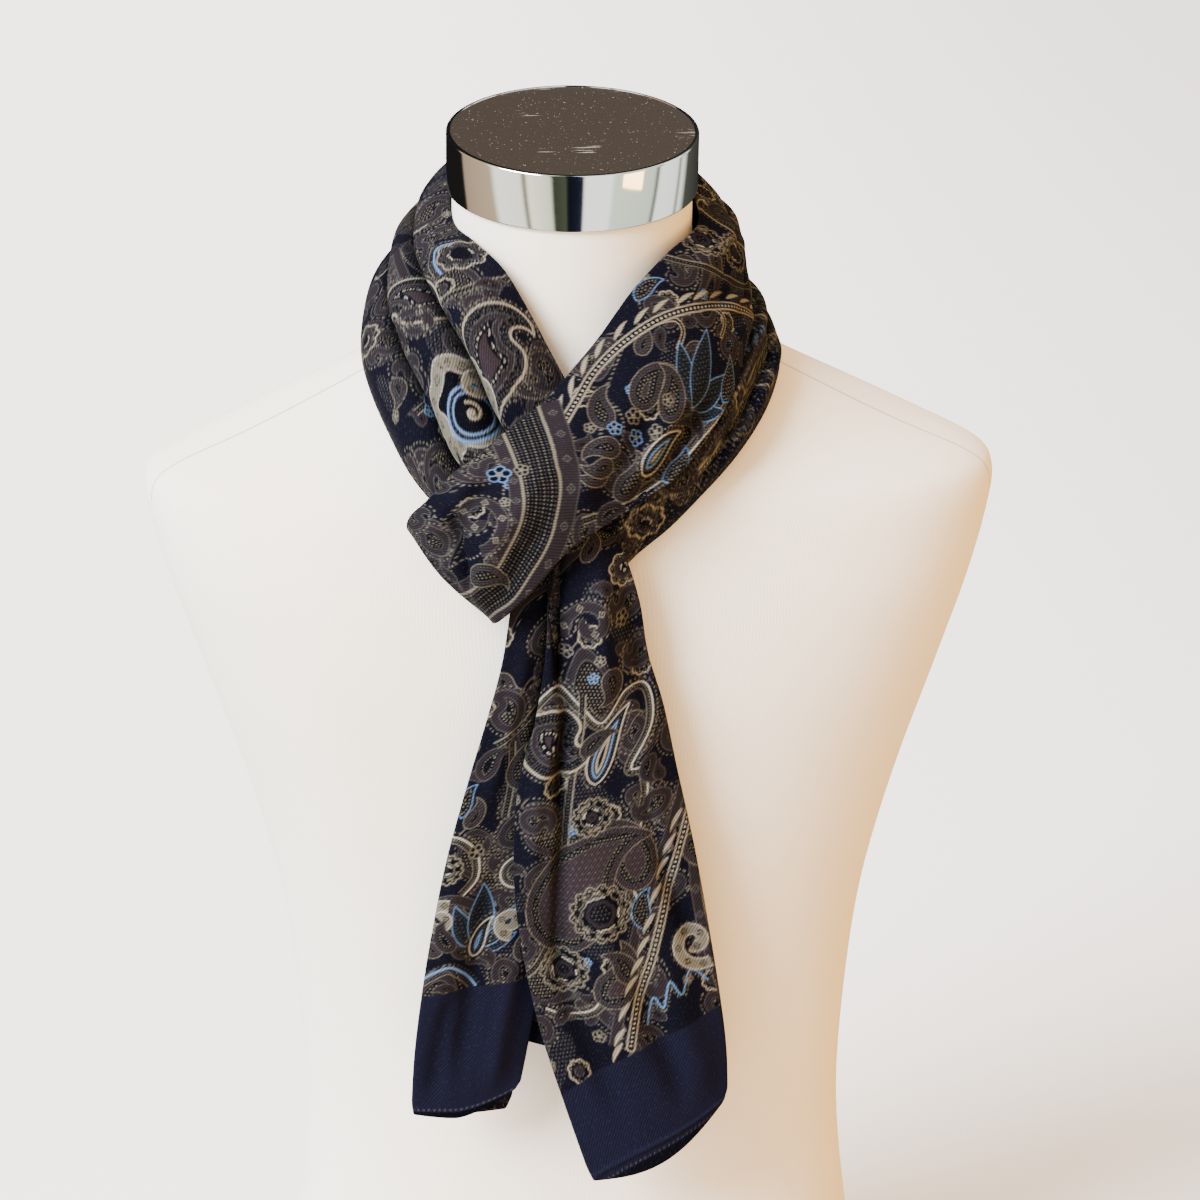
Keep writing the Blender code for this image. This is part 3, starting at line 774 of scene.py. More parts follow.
def is_inside(points, outline):
    x, y = points[:, :1], points[:, 1:]
    low, high = outline, np.roll(outline, -1, axis=0)
    rise = high[:, 1] - low[:, 1]
    rise = np.where(np.abs(rise) < 1e-9, 1e-9, rise)
    reach = low[:, 0] + (y - low[:, 1]) * (high[:, 0] - low[:, 0]) / rise
    crossed = ((low[:, 1] > y) != (high[:, 1] > y)) & (x < reach)
    return crossed.sum(axis=1) % 2 == 1


def turned(shape, x, y, angle, size):
    """Put a shape of unit length on the cloth; its tip points along the angle."""
    a = math.radians(angle)
    tip, aside = np.array([math.cos(a), math.sin(a)]), np.array([-math.sin(a), math.cos(a)])
    return np.array([x, y]) + size * (shape[:, :1] * tip + shape[:, 1:] * aside)


def drop_outline(half_width, bend, fullest):
    """A leaf or a drop: round at the base, pointed at a tip that curls round."""
    p = np.linspace(0, 1, 30)
    heading = np.radians(bend) * p ** 2
    step = np.stack([np.cos(heading), np.sin(heading)], axis=1) / len(p)
    spine = np.cumsum(step, axis=0)
    across = np.stack([-np.sin(heading), np.cos(heading)], axis=1)
    wide = half_width * np.sin(math.pi * p ** fullest)[:, None]
    return np.concatenate([spine + across * wide, (spine - across * wide)[::-1]])


def bloom_outline(petals):
    """A flower's outline, or a circle where it has no petals."""
    angle = np.linspace(0, 2 * math.pi, 90, endpoint=False)
    reach = 1 - PETAL_DEPTH + PETAL_DEPTH * np.abs(np.cos(petals * angle / 2))
    return np.stack([np.cos(angle), np.sin(angle)], axis=1) * reach[:, None]


def spiral_line(turns):
    angle = np.linspace(0, 2 * math.pi * turns, 60)
    reach = np.exp(-SPIRAL_SHRINK * angle)
    return np.stack([np.cos(angle), np.sin(angle)], axis=1) * reach[:, None]


def curve_through(points):
    """A smooth line through a few places on the cloth."""
    last = len(points) - 1
    return smooth(points, np.linspace(0, last, last * 8 + 1))


class Print:
    """The dyes on one stretch of cloth."""

    def __init__(self, x, y):
        self.shape = x.shape
        self.points = np.stack([x.ravel(), y.ravel()], axis=1)
        self.colour = np.tile(np.array(DYES["navy"]), (len(self.points), 1))

    def near(self, outline, margin):
        low, high = outline.min(axis=0) - margin, outline.max(axis=0) + margin
        inside = (self.points > low).all(axis=1) & (self.points < high).all(axis=1)
        return np.nonzero(inside)[0]

    def lay(self, index, cover, dye):
        there = self.colour[index]
        self.colour[index] = there + (np.array(DYES[dye]) - there) * cover[:, None]

    def lay_layers(self, index, depth, along, layers):
        x, y = self.points[index].T
        for low, high, dye, *repeat in layers:
            style, pitch = repeat or ("plain", 0)
            middle, half = (low + high) / 2, (high - low) / 2
            if style == "dots":
                gap = along % pitch - pitch / 2
                cover = covered(np.hypot(depth - middle, gap) - half - 0.08)
            elif style == "rings":
                gap = np.abs(along % pitch - pitch / 2)
                diamond = np.abs(depth - middle) + gap
                cover = covered(np.abs(diamond - half) - 0.35) + covered(diamond - 0.5)
            elif style == "scallops":
                wave = 0.28 * pitch * np.abs(np.sin(math.pi * along / pitch))
                cover = covered(np.abs(depth - wave - middle + 0.5) - half)
            elif style == "seeds":
                row = np.rint(y / pitch)
                aside = (x + 0.5 * pitch * (row % 2)) % pitch - pitch / 2
                gap = np.hypot(aside, y - row * pitch)
                cover = covered(gap - SEED_RADIUS) * covered(np.abs(depth - middle) - half)
            else:
                cover = covered(np.abs(depth - middle) - half)
            self.lay(index, cover, dye)

    def lay_shape(self, outline, layers):
        """A closed shape with its layers inside it and round it."""
        index = self.near(outline, SHAPE_REACH)
        if len(index) == 0:
            return
        points = self.points[index]
        distance, along = nearest_on(points, np.concatenate([outline, outline[:1]]))
        inside = is_inside(points, outline)
        self.lay_layers(index, np.where(inside, 1, -1) * np.abs(distance), along, layers)

    def lay_round(self, petals, x, y, angle, size, layers):
        """A flower, or a disc where it has no petals."""
        self.lay_shape(turned(bloom_outline(petals), x, y, angle, size), layers)

    def lay_line(self, line, layers):
        """An open line with its layers on both sides."""
        reach = max(max(abs(row[0]), abs(row[1])) for row in layers)
        index = self.near(line, reach + 1)
        if len(index) == 0:
            return
        depth, along = nearest_on(self.points[index], line)
        within = np.ones(len(along), bool)
        if reach > WIDE_LINE:   # a wide line is cut square at its ends
            within = (along > END_CUT) & (along < along.max() - END_CUT)
        self.lay_layers(index[within], depth[within], along[within], layers)

    def motif(self, kind, x, y, angle, size, side):
        """One motif: its middle or its base, where its tip points, its length or its
        radius, and the side to which it curls."""
        if kind == "lotus":
            for turn, length in ((-66, .58), (66, .58), (-36, .80), (36, .80), (0, 1)):
                self.motif("petal", x, y, angle + turn, size * length,
                           1 if turn < 0 else -1)
            for turn in (-100, 100):
                self.motif("leaf", x, y, angle + turn, size * 0.42, side)
        elif kind in ROUNDS:
            petals, layers = ROUNDS[kind]
            self.lay_round(petals, x, y, angle, size, LAYERS[layers])
        elif kind == "shell":
            lobes = turned(bloom_outline(6) + (0.3, 0), x, y, angle, size)
            self.lay_shape(lobes, LAYERS["frill"])
            self.lay_round(0, x, y, angle, size * 0.56, LAYERS["shell"])
            scroll = turned(spiral_line(1.7), x, y, angle, size * 0.24)
            self.lay_line(scroll, LAYERS["scroll"])
        elif kind in ("hook", "swirl"):
            line = turned(spiral_line(1.2) * (1, side), x, y, angle, size)
            self.lay_line(line if side > 0 else line[::-1], LAYERS[kind])
        elif kind == "blossom":
            edge = "khaki" if side > 0 else "blue"
            for k in range(5):
                at = turned(np.array([[0.55, 0]]), x, y, angle + 72 * k, size)
                self.lay_round(0, *at[0], 0, size * 0.40, (
                    (-0.2, 60, edge), (0.4, 60, "ink")))
            self.lay_round(0, x, y, 0, size * 0.26, ((0, 60, "khaki"),))
        else:
            half_width, bend, fullest = SHAPES[kind]
            shape = drop_outline(half_width, bend * side, fullest)
            self.lay_shape(turned(shape, x, y, angle, size), LAYERS[kind])

    def stem(self, points, pitch, length, side):
        """A dotted stem with slim leaves along one side."""
        line = curve_through(points)
        reached = np.concatenate([[0], np.cumsum(np.hypot(*np.diff(line, axis=0).T))])
        for at in np.arange(pitch / 2, reached[-1], pitch):
            i = min(int(np.searchsorted(reached, at)), len(line) - 2)
            heading = math.degrees(math.atan2(*(line[i + 1] - line[i])[::-1]))
            away = STEM_GAP * side * np.array([-math.sin(math.radians(heading)),
                                               math.cos(math.radians(heading))])
            self.motif("sprout", *(line[i] + away), heading + STEM_TURN * side, length,
                       -side)
        self.lay_line(line, LAYERS["stem"])

    def grid(self):
        return self.colour.reshape(*self.shape, 3)


# The small motifs of the ground: their order, sizes, steps across and along, and how
# far each is turned from the one before it, in degrees.
GROUND_KINDS = ("leaf", "dusk", "blossom", "shade", "leaf", "dusk", "leaf", "bloom")
GROUND_SIZES = {"leaf": 14, "dusk": 25, "blossom": 2.8, "shade": 19, "bloom": 6}
GROUND_STEPS, GROUND_TURN = (20.0, 19.0), 137.5
GROUND_SHIFT = 4    # millimetres that each is moved off its place in the rows
# Slow waves part the ground: seeds lie where they are low, and swirls where they are
# high. A wave of 1 is so many millimetres deep inside them.
SEEDS_BELOW, SWIRLS_ABOVE, WAVE_DEPTH = -1.4, 1.15, 7


def lay_ground(dyes):
    """Navy with fine seeds, mauve swirls with a thin edge, and small motifs in rows."""
    x, y = dyes.points.T
    field = np.sin(x / 9 + 1.6 * np.sin(y / 16)) + np.sin(y / 12 + 1.4 * np.sin(x / 10))
    field += 0.6 * np.sin((x - 1.3 * y) / 17)
    everywhere, aslant = np.arange(len(x)), x * 0.8 + y * 0.6
    dyes.lay_layers(everywhere, (SEEDS_BELOW - field) * WAVE_DEPTH, aslant, (
        (-0.2, 600, "dun", "seeds", 2.0),))
    dyes.lay_layers(everywhere, (field - SWIRLS_ABOVE) * WAVE_DEPTH, aslant, (
        (-2.6, -2.0, "khaki", "dots", 2.2), (-0.3, 0.25, "dun"),
        (0.25, 600, "mauve"), (3.2, 3.6, "dun"),
        (3.6, 600, "ink"), (4.3, 600, "khaki", "seeds", 1.9)))
    low, high = dyes.points.min(axis=0), dyes.points.max(axis=0)
    count, half = 0, GROUND_STEPS[0] / 2
    for i, down in enumerate(np.arange(low[1], high[1], GROUND_STEPS[1])):
        for right in np.arange(low[0] - half / 2 + half * (i % 2), high[0], 2 * half):
            kind = GROUND_KINDS[(count * 5 + i) % len(GROUND_KINDS)]
            angle = GROUND_TURN * count
            place = (right + GROUND_SHIFT * math.sin(count * 2.3),
                     down + GROUND_SHIFT * math.cos(count * 1.7))
            dyes.motif(kind, *place, angle, GROUND_SIZES[kind], 1 if count % 2 else -1)
            count += 1


# What is printed on each stretch: the motif, its place across from the first edge and
# along the stretch, the angle of its tip from across towards along, size and side.
MOTIFS = {
    "collar_left": (
        ("dusk", 14, 140, 100, 36, 1), ("leaf", 8, 120, 60, 22, -1),
        ("bloom", 9, 98, 20, 13, 1), ("dusk", 20, 114, 60, 30, 1),
        ("leaf", 14, 62, 120, 18, 1), ("leaf", 5, 66, 60, 16, -1),
        ("shade", 12, 6, 60, 34, -1), ("dusk", 10, 30, 240, 30, 1),
        ("grand", 30, 14, 82, 66, 1), ("dusk", 46, 2, 50, 32, -1),
        ("grand", 48, 78, 92, 60, -1), ("swirl", 62, 84, 40, 12, 1),
        ("leaf", 50, 56, 60, 20, 1), ("shell", 61, 27, 85, 26, 1),
        ("hook", 52, 40, 120, 7, -1), ("dusk", 72, 120, 100, 34, 1),
        ("dusk", 86, 92, 80, 32, -1), ("bloom", 94, 118, 0, 10, 1),
        ("dusk", 92, 62, 110, 30, 1), ("frost", 84, 48, 40, 22, 1),
        ("dusk", 94, 18, 75, 34, -1), ("shade", 78, -4, 60, 28, 1),
        ("blossom", 96, 56, 0, 3.5, -1), ("leaf", 82, 138, 60, 20, 1),
    ),
    "collar_back": (
        ("grand", 30, 190, 80, 56, 1), ("bloom", 62, 200, 0, 13, 1),
        ("dusk", 80, 182, 60, 34, -1), ("grand", 62, 232, 100, 60, -1),
        ("lotus", 24, 262, 90, 34, 1), ("shell", 78, 300, 90, 20, 1),
        ("grand", 34, 300, 80, 58, 1), ("lace", 14, 300, 0, 12, 1),
        ("dusk", 60, 330, 60, 40, -1), ("lotus", 66, 386, -100, 34, 1),
        ("lace", 22, 384, 0, 13, 1), ("dusk", 40, 372, 200, 30, 1),
        ("dusk", 88, 260, 80, 30, 1),
    ),
    "front_band": (
        ("grand", 28, 398, 120, 46, 1), ("lace", 4, 448, 0, 13, 1),
        ("lace", 22, 436, 40, 11, 1), ("dusk", 46, 404, 70, 34, -1),
        ("dusk", 12, 418, 250, 28, 1), ("bloom", 54, 426, 0, 9, 1),
        ("shade", 60, 590, -80, 30, -1), ("leaf", 68, 604, -110, 22, 1),
        ("lotus", 60, 527, -114, 42, 1), ("frost", 3, 506, -100, 20, 1),
        ("shade", 40, 552, -122, 36, 1), ("shade", 52, 546, -104, 34, -1),
        ("shade", 34, 570, -160, 28, 1), ("shade", 46, 574, 150, 24, -1),
        ("shade", 54, 566, -40, 32, 1), ("shade", 46, 580, 90, 20, 1),
        ("blossom", 38, 556, 10, 4.4, 1), ("blossom", 46, 562, 50, 4.2, -1),
        ("blossom", 35, 568, 80, 4.0, -1), ("blossom", 52, 552, 0, 4.0, 1),
        ("blossom", 46, 536, 30, 3.4, 1), ("blossom", 26, 576, 30, 3.2, 1),
        ("flame", 62, 572, -100, 34, 1), ("frost", 72, 562, -74, 24, -1),
        ("frost", 72, 506, -100, 26, -1), ("dusk", 4, 616, 50, 20, 1),
    ),
    "knot": (
        ("swirl", 24, 650, 40, 17, -1), ("dusk", 22, 684, -110, 30, -1),
        ("dusk", 8, 672, 200, 22, 1), ("shade", 44, 676, -70, 26, 1),
        ("leaf", 4, 642, 160, 16, -1), ("blossom", 14, 624, 20, 5.6, -1),
        ("blossom", 20, 616, 70, 3.6, 1), ("blossom", 27, 634, 70, 2.6, 1),
        ("leaf", 26, 684, 120, 18, 1),
    ),
    "under_band": (
        ("dusk", 12, 40, 80, 34, 1), ("bloom", 30, 60, 0, 11, 1),
        ("grand", 18, 84, 85, 48, -1), ("dusk", 34, 90, 70, 26, 1),
        ("frost", 20, 150, -90, 28, 1), ("dusk", 26, 176, 90, 30, -1),
        ("bloom", 16, 200, 0, 10, 1), ("dusk", 30, 214, 80, 26, 1),
        ("bloom", 33, 250, 0, 10, 1),
    ),
    "tail_right": (
        ("dusk", 44, 30, 100, 28, 1), ("shade", 30, 70, 60, 24, 1),
        ("swirl", 20, 48, 150, 14, 1), ("blossom", 37, 46, 0, 4.2, 1),
        ("bloom", 36, 22, 0, 9, 1), ("blossom", 9, 62, 0, 3.6, 1),
        ("blossom", 26, 66, 20, 3, 1), ("dusk", 52, 58, 100, 24, 1),
        ("leaf", 66, 120, 110, 20, -1), ("dusk", 74, 140, 100, 28, 1),
        ("grand", 6, 90, 88, 52, -1), ("shade", 60, 196, -84, 52, -1),
        ("flame", 38, 134, -92, 44, 1), ("shade", 28, 118, -70, 22, 1),
        ("shade", 18, 226, -80, 92, 1), ("shade", 30, 252, -30, 44, -1),
        ("lace", 38, 150, 0, 10.5, 1), ("lace", 41, 202, 20, 16, 1),
        ("lace", 18, 232, 0, 12.5, 1), ("shade", 62, 222, -74, 24, 1),
        ("shade", 50, 244, -92, 26, -1), ("frost", 62, 216, -96, 24, 1),
        ("hook", 87, 228, 60, 14, 1), ("blossom", 28, 270, 0, 3.6, 1),
        ("shade", 90, 170, 80, 26, -1), ("leaf", 8, 262, -60, 16, 1),
        ("grand", 112, 60, 90, 60, 1), ("lace", 112, 160, 0, 13, 1),
        ("dusk", 120, 190, 90, 34, 1), ("dusk", 106, 236, 80, 26, 1),
    ),
    "tail_inner": (
        ("grand", 20, 40, 80, 46, 1), ("bloom", 34, 150, 0, 11, 1),
        ("dusk", 30, 170, 90, 30, 1),
    ),
    "tail_left": (
        ("dusk", 18, 46, -80, 36, 1), ("blossom", 26, 36, 0, 7, -1),
        ("swirl", 22, 60, 120, 9, -1), ("dusk", 4, 84, -60, 30, -1),
        ("leaf", 6, 112, -100, 24, 1), ("shade", 24, 118, -84, 44, 1),
        ("frost", 0, 132, -100, 20, 1), ("dusk", 30, 150, -90, 34, 1),
        ("lace", -1, 160, 0, 8.5, 1), ("ring", 36, 162, 0, 8.5, 1),
        ("lotus", 22, 206, -88, 38, 1), ("hook", 1, 188, -70, 9, -1),
        ("leaf", 12, 204, -150, 22, 1), ("flame", 22, 210, -86, 24, 1),
        ("shade", 44, 212, -60, 26, -1), ("lace", 37, 122, 0, 9, 1),
        ("blossom", 12, 150, 0, 4.2, 1), ("bloom", 30, 94, 0, 8, 1),
        ("hook", 38, 190, 80, 8, 1),
    ),
}
LINES = {
    "collar_left": (
        ("braid", ((36, 80), (20, 74), (4, 72), (-8, 74))),
        ("arcs", ((4, 108), (14, 112), (22, 104), (24, 92))),
        ("beads", ((40, 150), (38, 120), (36, 90))),
        ("ribbon", ((42, 150), (44, 128), (50, 108), (56, 92))),
        ("braid", ((74, 82), (84, 74), (92, 62), (104, 58))),
        ("stripes", ((84, 22), (68, 2), (50, -8), (30, -16))),
    ),
    "front_band": (
        ("braid", ((-8, 478), (6, 472), (20, 462), (34, 450), (44, 432))),
        ("arch", ((76, 498), (74, 540), (70, 570), (64, 598))),
        ("braid", ((60, 610), (66, 596), (76, 582))),
        ("curl", ((17, 510), (24, 501), (31, 502), (34, 511))),
        ("curl", ((30, 485), (37, 476), (45, 475), (49, 483))),
        ("curl", ((9, 566), (17, 558), (23, 560), (25, 568))),
    ),
    "knot": (
        ("stripes", ((-8, 586), (2, 594), (20, 607), (36, 619), (49, 634), (56, 650),
            (59, 666), (57, 684), (48, 702))),
        ("beads", ((-6, 612), (8, 618), (22, 630), (34, 646), (38, 664), (32, 682))),
    ),
    "under_band": (
        ("braid", ((34, 60), (38, 100), (38, 150), (36, 200), (26, 240))),
        ("ribbon", ((26, 100), (27, 150), (24, 200))),
        ("stem", ((41, 110), (35, 150), (39, 190), (31, 230))),
    ),
    "tail_right": (
        ("arch", ((-6, 92), (6, 80), (20, 90), (33, 100), (42, 84), (54, 84), (60, 104),
            (55, 126), (62, 128), (66, 142), (62, 164), (52, 178), (58, 190), (62, 206))),
        ("braid", ((20, 84), (25, 122), (25, 165), (20, 202), (6, 226), (-8, 236))),
        ("ribbon", ((86, 140), (78, 170), (62, 206), (46, 246), (34, 276))),
        ("arch", ((4, 252), (16, 257), (30, 254), (38, 240))),
        ("zigzag", ((54, 268), (60, 254), (64, 260), (70, 246), (75, 254), (82, 242),
            (90, 250))),
        ("stripes", ((112, 0), (106, 60), (112, 120), (104, 200), (112, 280))),
    ),
    "tail_left": (
        ("arch", ((-12, 148), (0, 142), (12, 150), (16, 164), (10, 174))),
        ("arcs", ((-6, 224), (8, 214), (18, 218), (26, 226))),
        ("braid", ((6, 92), (16, 82), (24, 70))),
        ("braid", ((14, 90), (20, 112), (22, 132))),
        ("ribbon", ((-12, 186), (4, 176), (20, 182), (34, 194))),
    ),
}
STEMS = {
    "front_band": (
        ((26, 606), (16, 586), (10, 563), (8, 545), (10, 528), (17, 508), (28, 487),
         (46, 459), (62, 438)), 12, 12, -1),
    "tail_right": (
        ((92, 150), (86, 172), (77, 198), (65, 228), (52, 254), (42, 278)), 13, 13, 1),
}


def printed(name, x, y):
    """The colours of one stretch, on its grid of points."""
    dyes = Print(x, y)
    lay_ground(dyes)
    groups = (name, "knot") if name == "front_band" else (name,)
    for group in groups:
        for kind, points in LINES.get(group, ()):
            dyes.lay_line(curve_through(points), LAYERS[kind])
        for row in MOTIFS.get(group, ()):
            dyes.motif(*row)
        if group in STEMS:
            dyes.stem(*STEMS[group])
    return dyes


HEM_DARK = 3.4, 9           # the darker rolled hem: from above the end to past it
STITCHES = 4.6, 4.0, 2.8    # the line of stitches: from and to above the end, step


def lay_border(dyes, start, end, slant):
    """The plain end of a tail, from a line that may slant, and its hem's stitches."""
    x, y = dyes.points.T
    everywhere = np.arange(len(x))
    dyes.lay(everywhere, covered(start - y + slant * (x - x.max() / 2)), "border")
    dyes.lay_layers(everywhere, y, x, (
        (end - HEM_DARK[0], end + HEM_DARK[1], "ink"),
        (end - STITCHES[0], end - STITCHES[1], "dun", "dots", STITCHES[2])))


# ---- pieces ----

def wool_material(name, slant, dulled):
    """Printed wool twill: fine diagonal ribs that catch the light, a soft nap, and painted
    light and shade along the ribs, which also stands for dye a little uneven from rib to
    rib. dulled is how far its colours are greyed."""
    material, tree, place = new_material(name)
    cloth = bpy.context.scene.scarf_cloth
    dyed = add_node(tree, "ShaderNodeAttribute", attribute_name="print")
    # the ribs are taken to be 0.6 mm apart, and are drawn at 1.4 mm so that they show
    leant = add_node(tree, "ShaderNodeMapping", {
        "Vector": place["UV"], "Rotation": (0, 0, math.radians(slant))})
    ribs = ribbed(tree, leant.outputs[0], cloth.twill,
                  **{"Distortion": 0.8, "Detail": 1.0, "Detail Scale": 2.0})
    # yarns are thicker and thinner every few millimetres
    slubs = noise(tree, place["UV"], 700.0, 3.0)
    # painted light and shade: the dye is made lighter and darker along the twill ribs
    rib_light_and_shade = add_node(tree, "ShaderNodeVectorMath", {
        0: dyed.outputs["Color"], "Scale": stretched(tree, ribs, 0.0, 1.0, (0.76, 1.30))},
        operation="SCALE")
    fleck = stretched(tree, slubs, 0.56, 0.72, (0.0, 0.005 + dulled * 0.05))
    worn = add_node(tree, "ShaderNodeVectorMath", {0: rib_light_and_shade.outputs[0], 1: fleck},
                    operation="ADD")
    raised = add_node(tree, "ShaderNodeBump", {
        "Height": math_node(tree, "ADD", ribs, slubs), "Distance": 0.00015,
        "Strength": 0.7})
    show_surface(tree, Base_Color=worn.outputs[0], Normal=raised.outputs[0],
                 Roughness=0.8, Sheen_Weight=0.015, Sheen_Roughness=0.35,
                 Specular_IOR_Level=0.03)
    return material


def wool_materials():
    """The face of the cloth, and its paler reverse, where the print shows through."""
    kinds = (("Printed wool twill", -38, 0.0), ("Reverse of the wool twill", 38, 1.0))
    return [bpy.data.materials.get(kind[0]) or wool_material(*kind) for kind in kinds]


def jersey_material():
    """White cotton jersey, stretched: matt, with fine upright ribs of stitches."""
    material, tree, place = new_material("White cotton jersey")
    # the stitches are taken to be 0.7 mm wide, and are drawn at 1.6 mm so that they show
    wales = ribbed(tree, place["UV"], 0.0016,
                   **{"Distortion": 1.2, "Detail": 2.0, "Detail Scale": 1.5})
    uneven = noise(tree, place["Object"], 26.0, 4.0)
    mixed = math_node(tree, "ADD", wales, uneven)
    white = blend(tree, mixed, rgba("e8dcc6"), rgba("f4ead7"))
    raised = add_node(tree, "ShaderNodeBump", {
        "Height": wales, "Distance": 0.00008, "Strength": 0.5})
    # a fine seam, 1.2 mm wide, runs along the front of each shoulder
    parts = add_node(tree, "ShaderNodeSeparateXYZ", {0: place["Object"]}).outputs
    off_seam = math_node(tree, "COMPARE", parts["Y"], -0.026, 0.0006)
    on_top = math_node(tree, "GREATER_THAN", parts["Z"], 0.5)
    seam = math_node(tree, "MULTIPLY", off_seam, on_top)
    show_surface(tree, Base_Color=blend(tree, seam, white, rgba("b9b4aa")),
                 Normal=raised.outputs[0], Roughness=0.85, Sheen_Weight=0.12,
                 Specular_IOR_Level=0.2)
    return material


def chrome_material():
    """Chrome plate: a clear mirror with a few fine hairlines from wiping."""
    material, tree, place = new_material("Polished chrome plate")
    wiped = add_node(tree, "ShaderNodeMapping", {
        "Vector": place["Object"], "Scale": (60, 60, 900)})
    lines = noise(tree, wiped.outputs[0], 1.0, 3.0)
    show_surface(tree, Base_Color=rgba("e6e6e2"), Metallic=1.0,
                 Roughness=stretched(tree, lines, 0.0, 1.0, (0.03, 0.10)))
    return material


def cap_top_material():
    """The cap's dull top: brown lacquer on metal, with specks and a few pale scratches."""
    material, tree, place = new_material("Dull brown lacquer on metal")
    # scratches up to 20 mm long and 0.4 mm wide, all at one slant
    slanted = add_node(tree, "ShaderNodeMapping", {
        "Vector": place["Object"], "Scale": (40, 900, 0),
        "Rotation": (0, 0, math.radians(-22))})
    streaks = noise(tree, slanted.outputs[0], 1.0, 1.0)
    patch = noise(tree, place["Object"], 45.0, 2.0)
    scratch = stretched(tree, math_node(tree, "MULTIPLY", streaks, patch), 0.42, 0.46)
    speck = stretched(tree, noise(tree, place["Object"], 800.0, 2.0), 0.70, 0.74)
    worn = math_node(tree, "MAXIMUM", scratch, speck)
    show_surface(tree, Base_Color=blend(tree, worn, rgba("2b251f"), rgba("8f897c")),
                 Roughness=0.4, Specular_IOR_Level=0.4)
    return material


def make_stretch(node, table, rows, flaps, spacing=1.0, border=None, **more):
    """Shape, dye and add one stretch of the scarf, its colours darkened by painted shade in
    folds and creases.
    """
    cloth = bpy.context.scene.scarf_cloth
    step = spacing * cloth.detail / MM
    points, x, y, painted_shade_factor = stretch_points(node, table, rows, step, flaps, cloth,
                                        hem=border is not None, **more)
    dyes = printed(node, x, y)
    if border is not None:
        start = y[-1, y.shape[1] // 2] - cloth.border / MM
        lay_border(dyes, start, np.median(y[-1]), border)
    # the print is darkened by the painted shade of the folds and creases
    return cloth_piece(node + "_cloth", node, points, x, y, dyes.grid() * painted_shade_factor[:, :, None],
                       cloth, wool_materials())


class SCARF_OT_collar(bpy.types.Operator):
    """Add the pleated stretch up the left side and round the nape"""
    bl_idname = "scarf.collar"
    bl_label = "Collar"

    def execute(self, context):
        left = make_stretch("collar_left", WRAP, LEFT_ROWS,
                            (4, 4), spacing=1.3, across=0.5, lift=2.2, anchor=-1)
        nape = make_stretch("collar_back", WRAP, NAPE_ROWS,
                            (4, 4), spacing=1.9, across=0.7, lift=2.2)
        return {"FINISHED"}


class SCARF_OT_front(bpy.types.Operator):
    """Add the band that crosses the front and the layer under it"""
    bl_idname = "scarf.front"
    bl_label = "Front"

    def execute(self, context):
        band = make_stretch("front_band", WRAP, FRONT_ROWS,
                            (4, 4), spacing=0.96, lift=2.2, anchor=0)
        under = make_stretch("under_band", UNDER, (0, 11), (4, 4), spacing=0.92)
        return {"FINISHED"}


class SCARF_OT_tails(bpy.types.Operator):
    """Add the two hanging tails and the layer that shows between them"""
    bl_idname = "scarf.tails"
    bl_label = "Tails"

    def execute(self, context):
        right = make_stretch("tail_right", TAIL_RIGHT, (0, 10),
                             (4, 0.62), spacing=1.25, border=-0.3)
        inner = make_stretch("tail_inner", TAIL_INNER, (0, 3),
                             (4, 4), spacing=2.0)
        left = make_stretch("tail_left", TAIL_LEFT, (0, 9), (0.97, 4), border=-0.16,
                            corner=13.0)
        return {"FINISHED"}


class SCARF_OT_form(bpy.types.Operator):
    """Add the limbless form in its jersey cover, and its metal neck cap"""
    bl_idname = "scarf.form"
    bl_label = "Form"

    def execute(self, context):
        add_form()
        add_cap()
        return {"FINISHED"}


def form_rings(steps_up, steps_round):
    """Level sections of the form, in millimetres, from its base to its neck."""
    places = np.linspace(0, len(FORM_SECTIONS) - 1, steps_up)
    rows = dict(zip(FORM_COLUMNS, smooth(FORM_SECTIONS, places).T[:, :, None]))
    angle = np.linspace(0, 2 * math.pi, steps_round, endpoint=False)[None]
    power = 2 / rows["square"]
    cosine, sine = np.cos(angle), np.sin(angle)
    middle = (rows["front"] + rows["back"]) / 2
    depth = (rows["back"] - rows["front"]) / 2
    x = rows["half_width"] * np.copysign(np.abs(cosine) ** power, cosine)
    y = middle + depth * np.copysign(np.abs(sine) ** power, sine)
    z = rows["z"] + rows["tilt"] * math.tan(NECK_TILT) * (y - middle)
    return np.stack([x, y, z], axis=2)


def add_form():
    """The jersey cover, closed at the base and under the cap."""
    around, up = FORM_STEPS
    points = form_rings(up, around)
    index = np.arange(up * around).reshape(up, around)
    beside = np.roll(index, -1, axis=1)
    sides = np.stack([index[:-1], beside[:-1], beside[1:], index[1:]], axis=2)
    sides = sides.reshape(-1, 4)
    mesh = bpy.data.meshes.new("jersey_form")
    mesh.from_pydata((points.reshape(-1, 3) * MM).tolist(), [],
                     sides.tolist() + [index[0, ::-1].tolist(), index[-1].tolist()])
    share = np.tile(np.arange(around) / around * FORM_GIRTH, (up, 1))
    height = np.tile(points[:, :, 2].mean(axis=1)[:, None] * MM, (1, around))
    chart = np.stack([share.ravel(), height.ravel()], axis=1)[corner_points(mesh)]
    # the faces that close the ring go on past the girth, not back to the start
    faces = np.arange(4 * len(sides)) // 4
    closing = (faces % around == around - 1) & (chart[:len(faces), 0] < FORM_GIRTH / 2)
    chart[:len(faces), 0] += FORM_GIRTH * closing
    set_chart(mesh, "jersey", chart)
    mesh.materials.append(jersey_material())
    form = add_object("jersey_form", mesh)
    bpy.ops.object.shade_smooth_by_angle(angle=math.radians(50))
    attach(form, "root")
    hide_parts("dress_form")


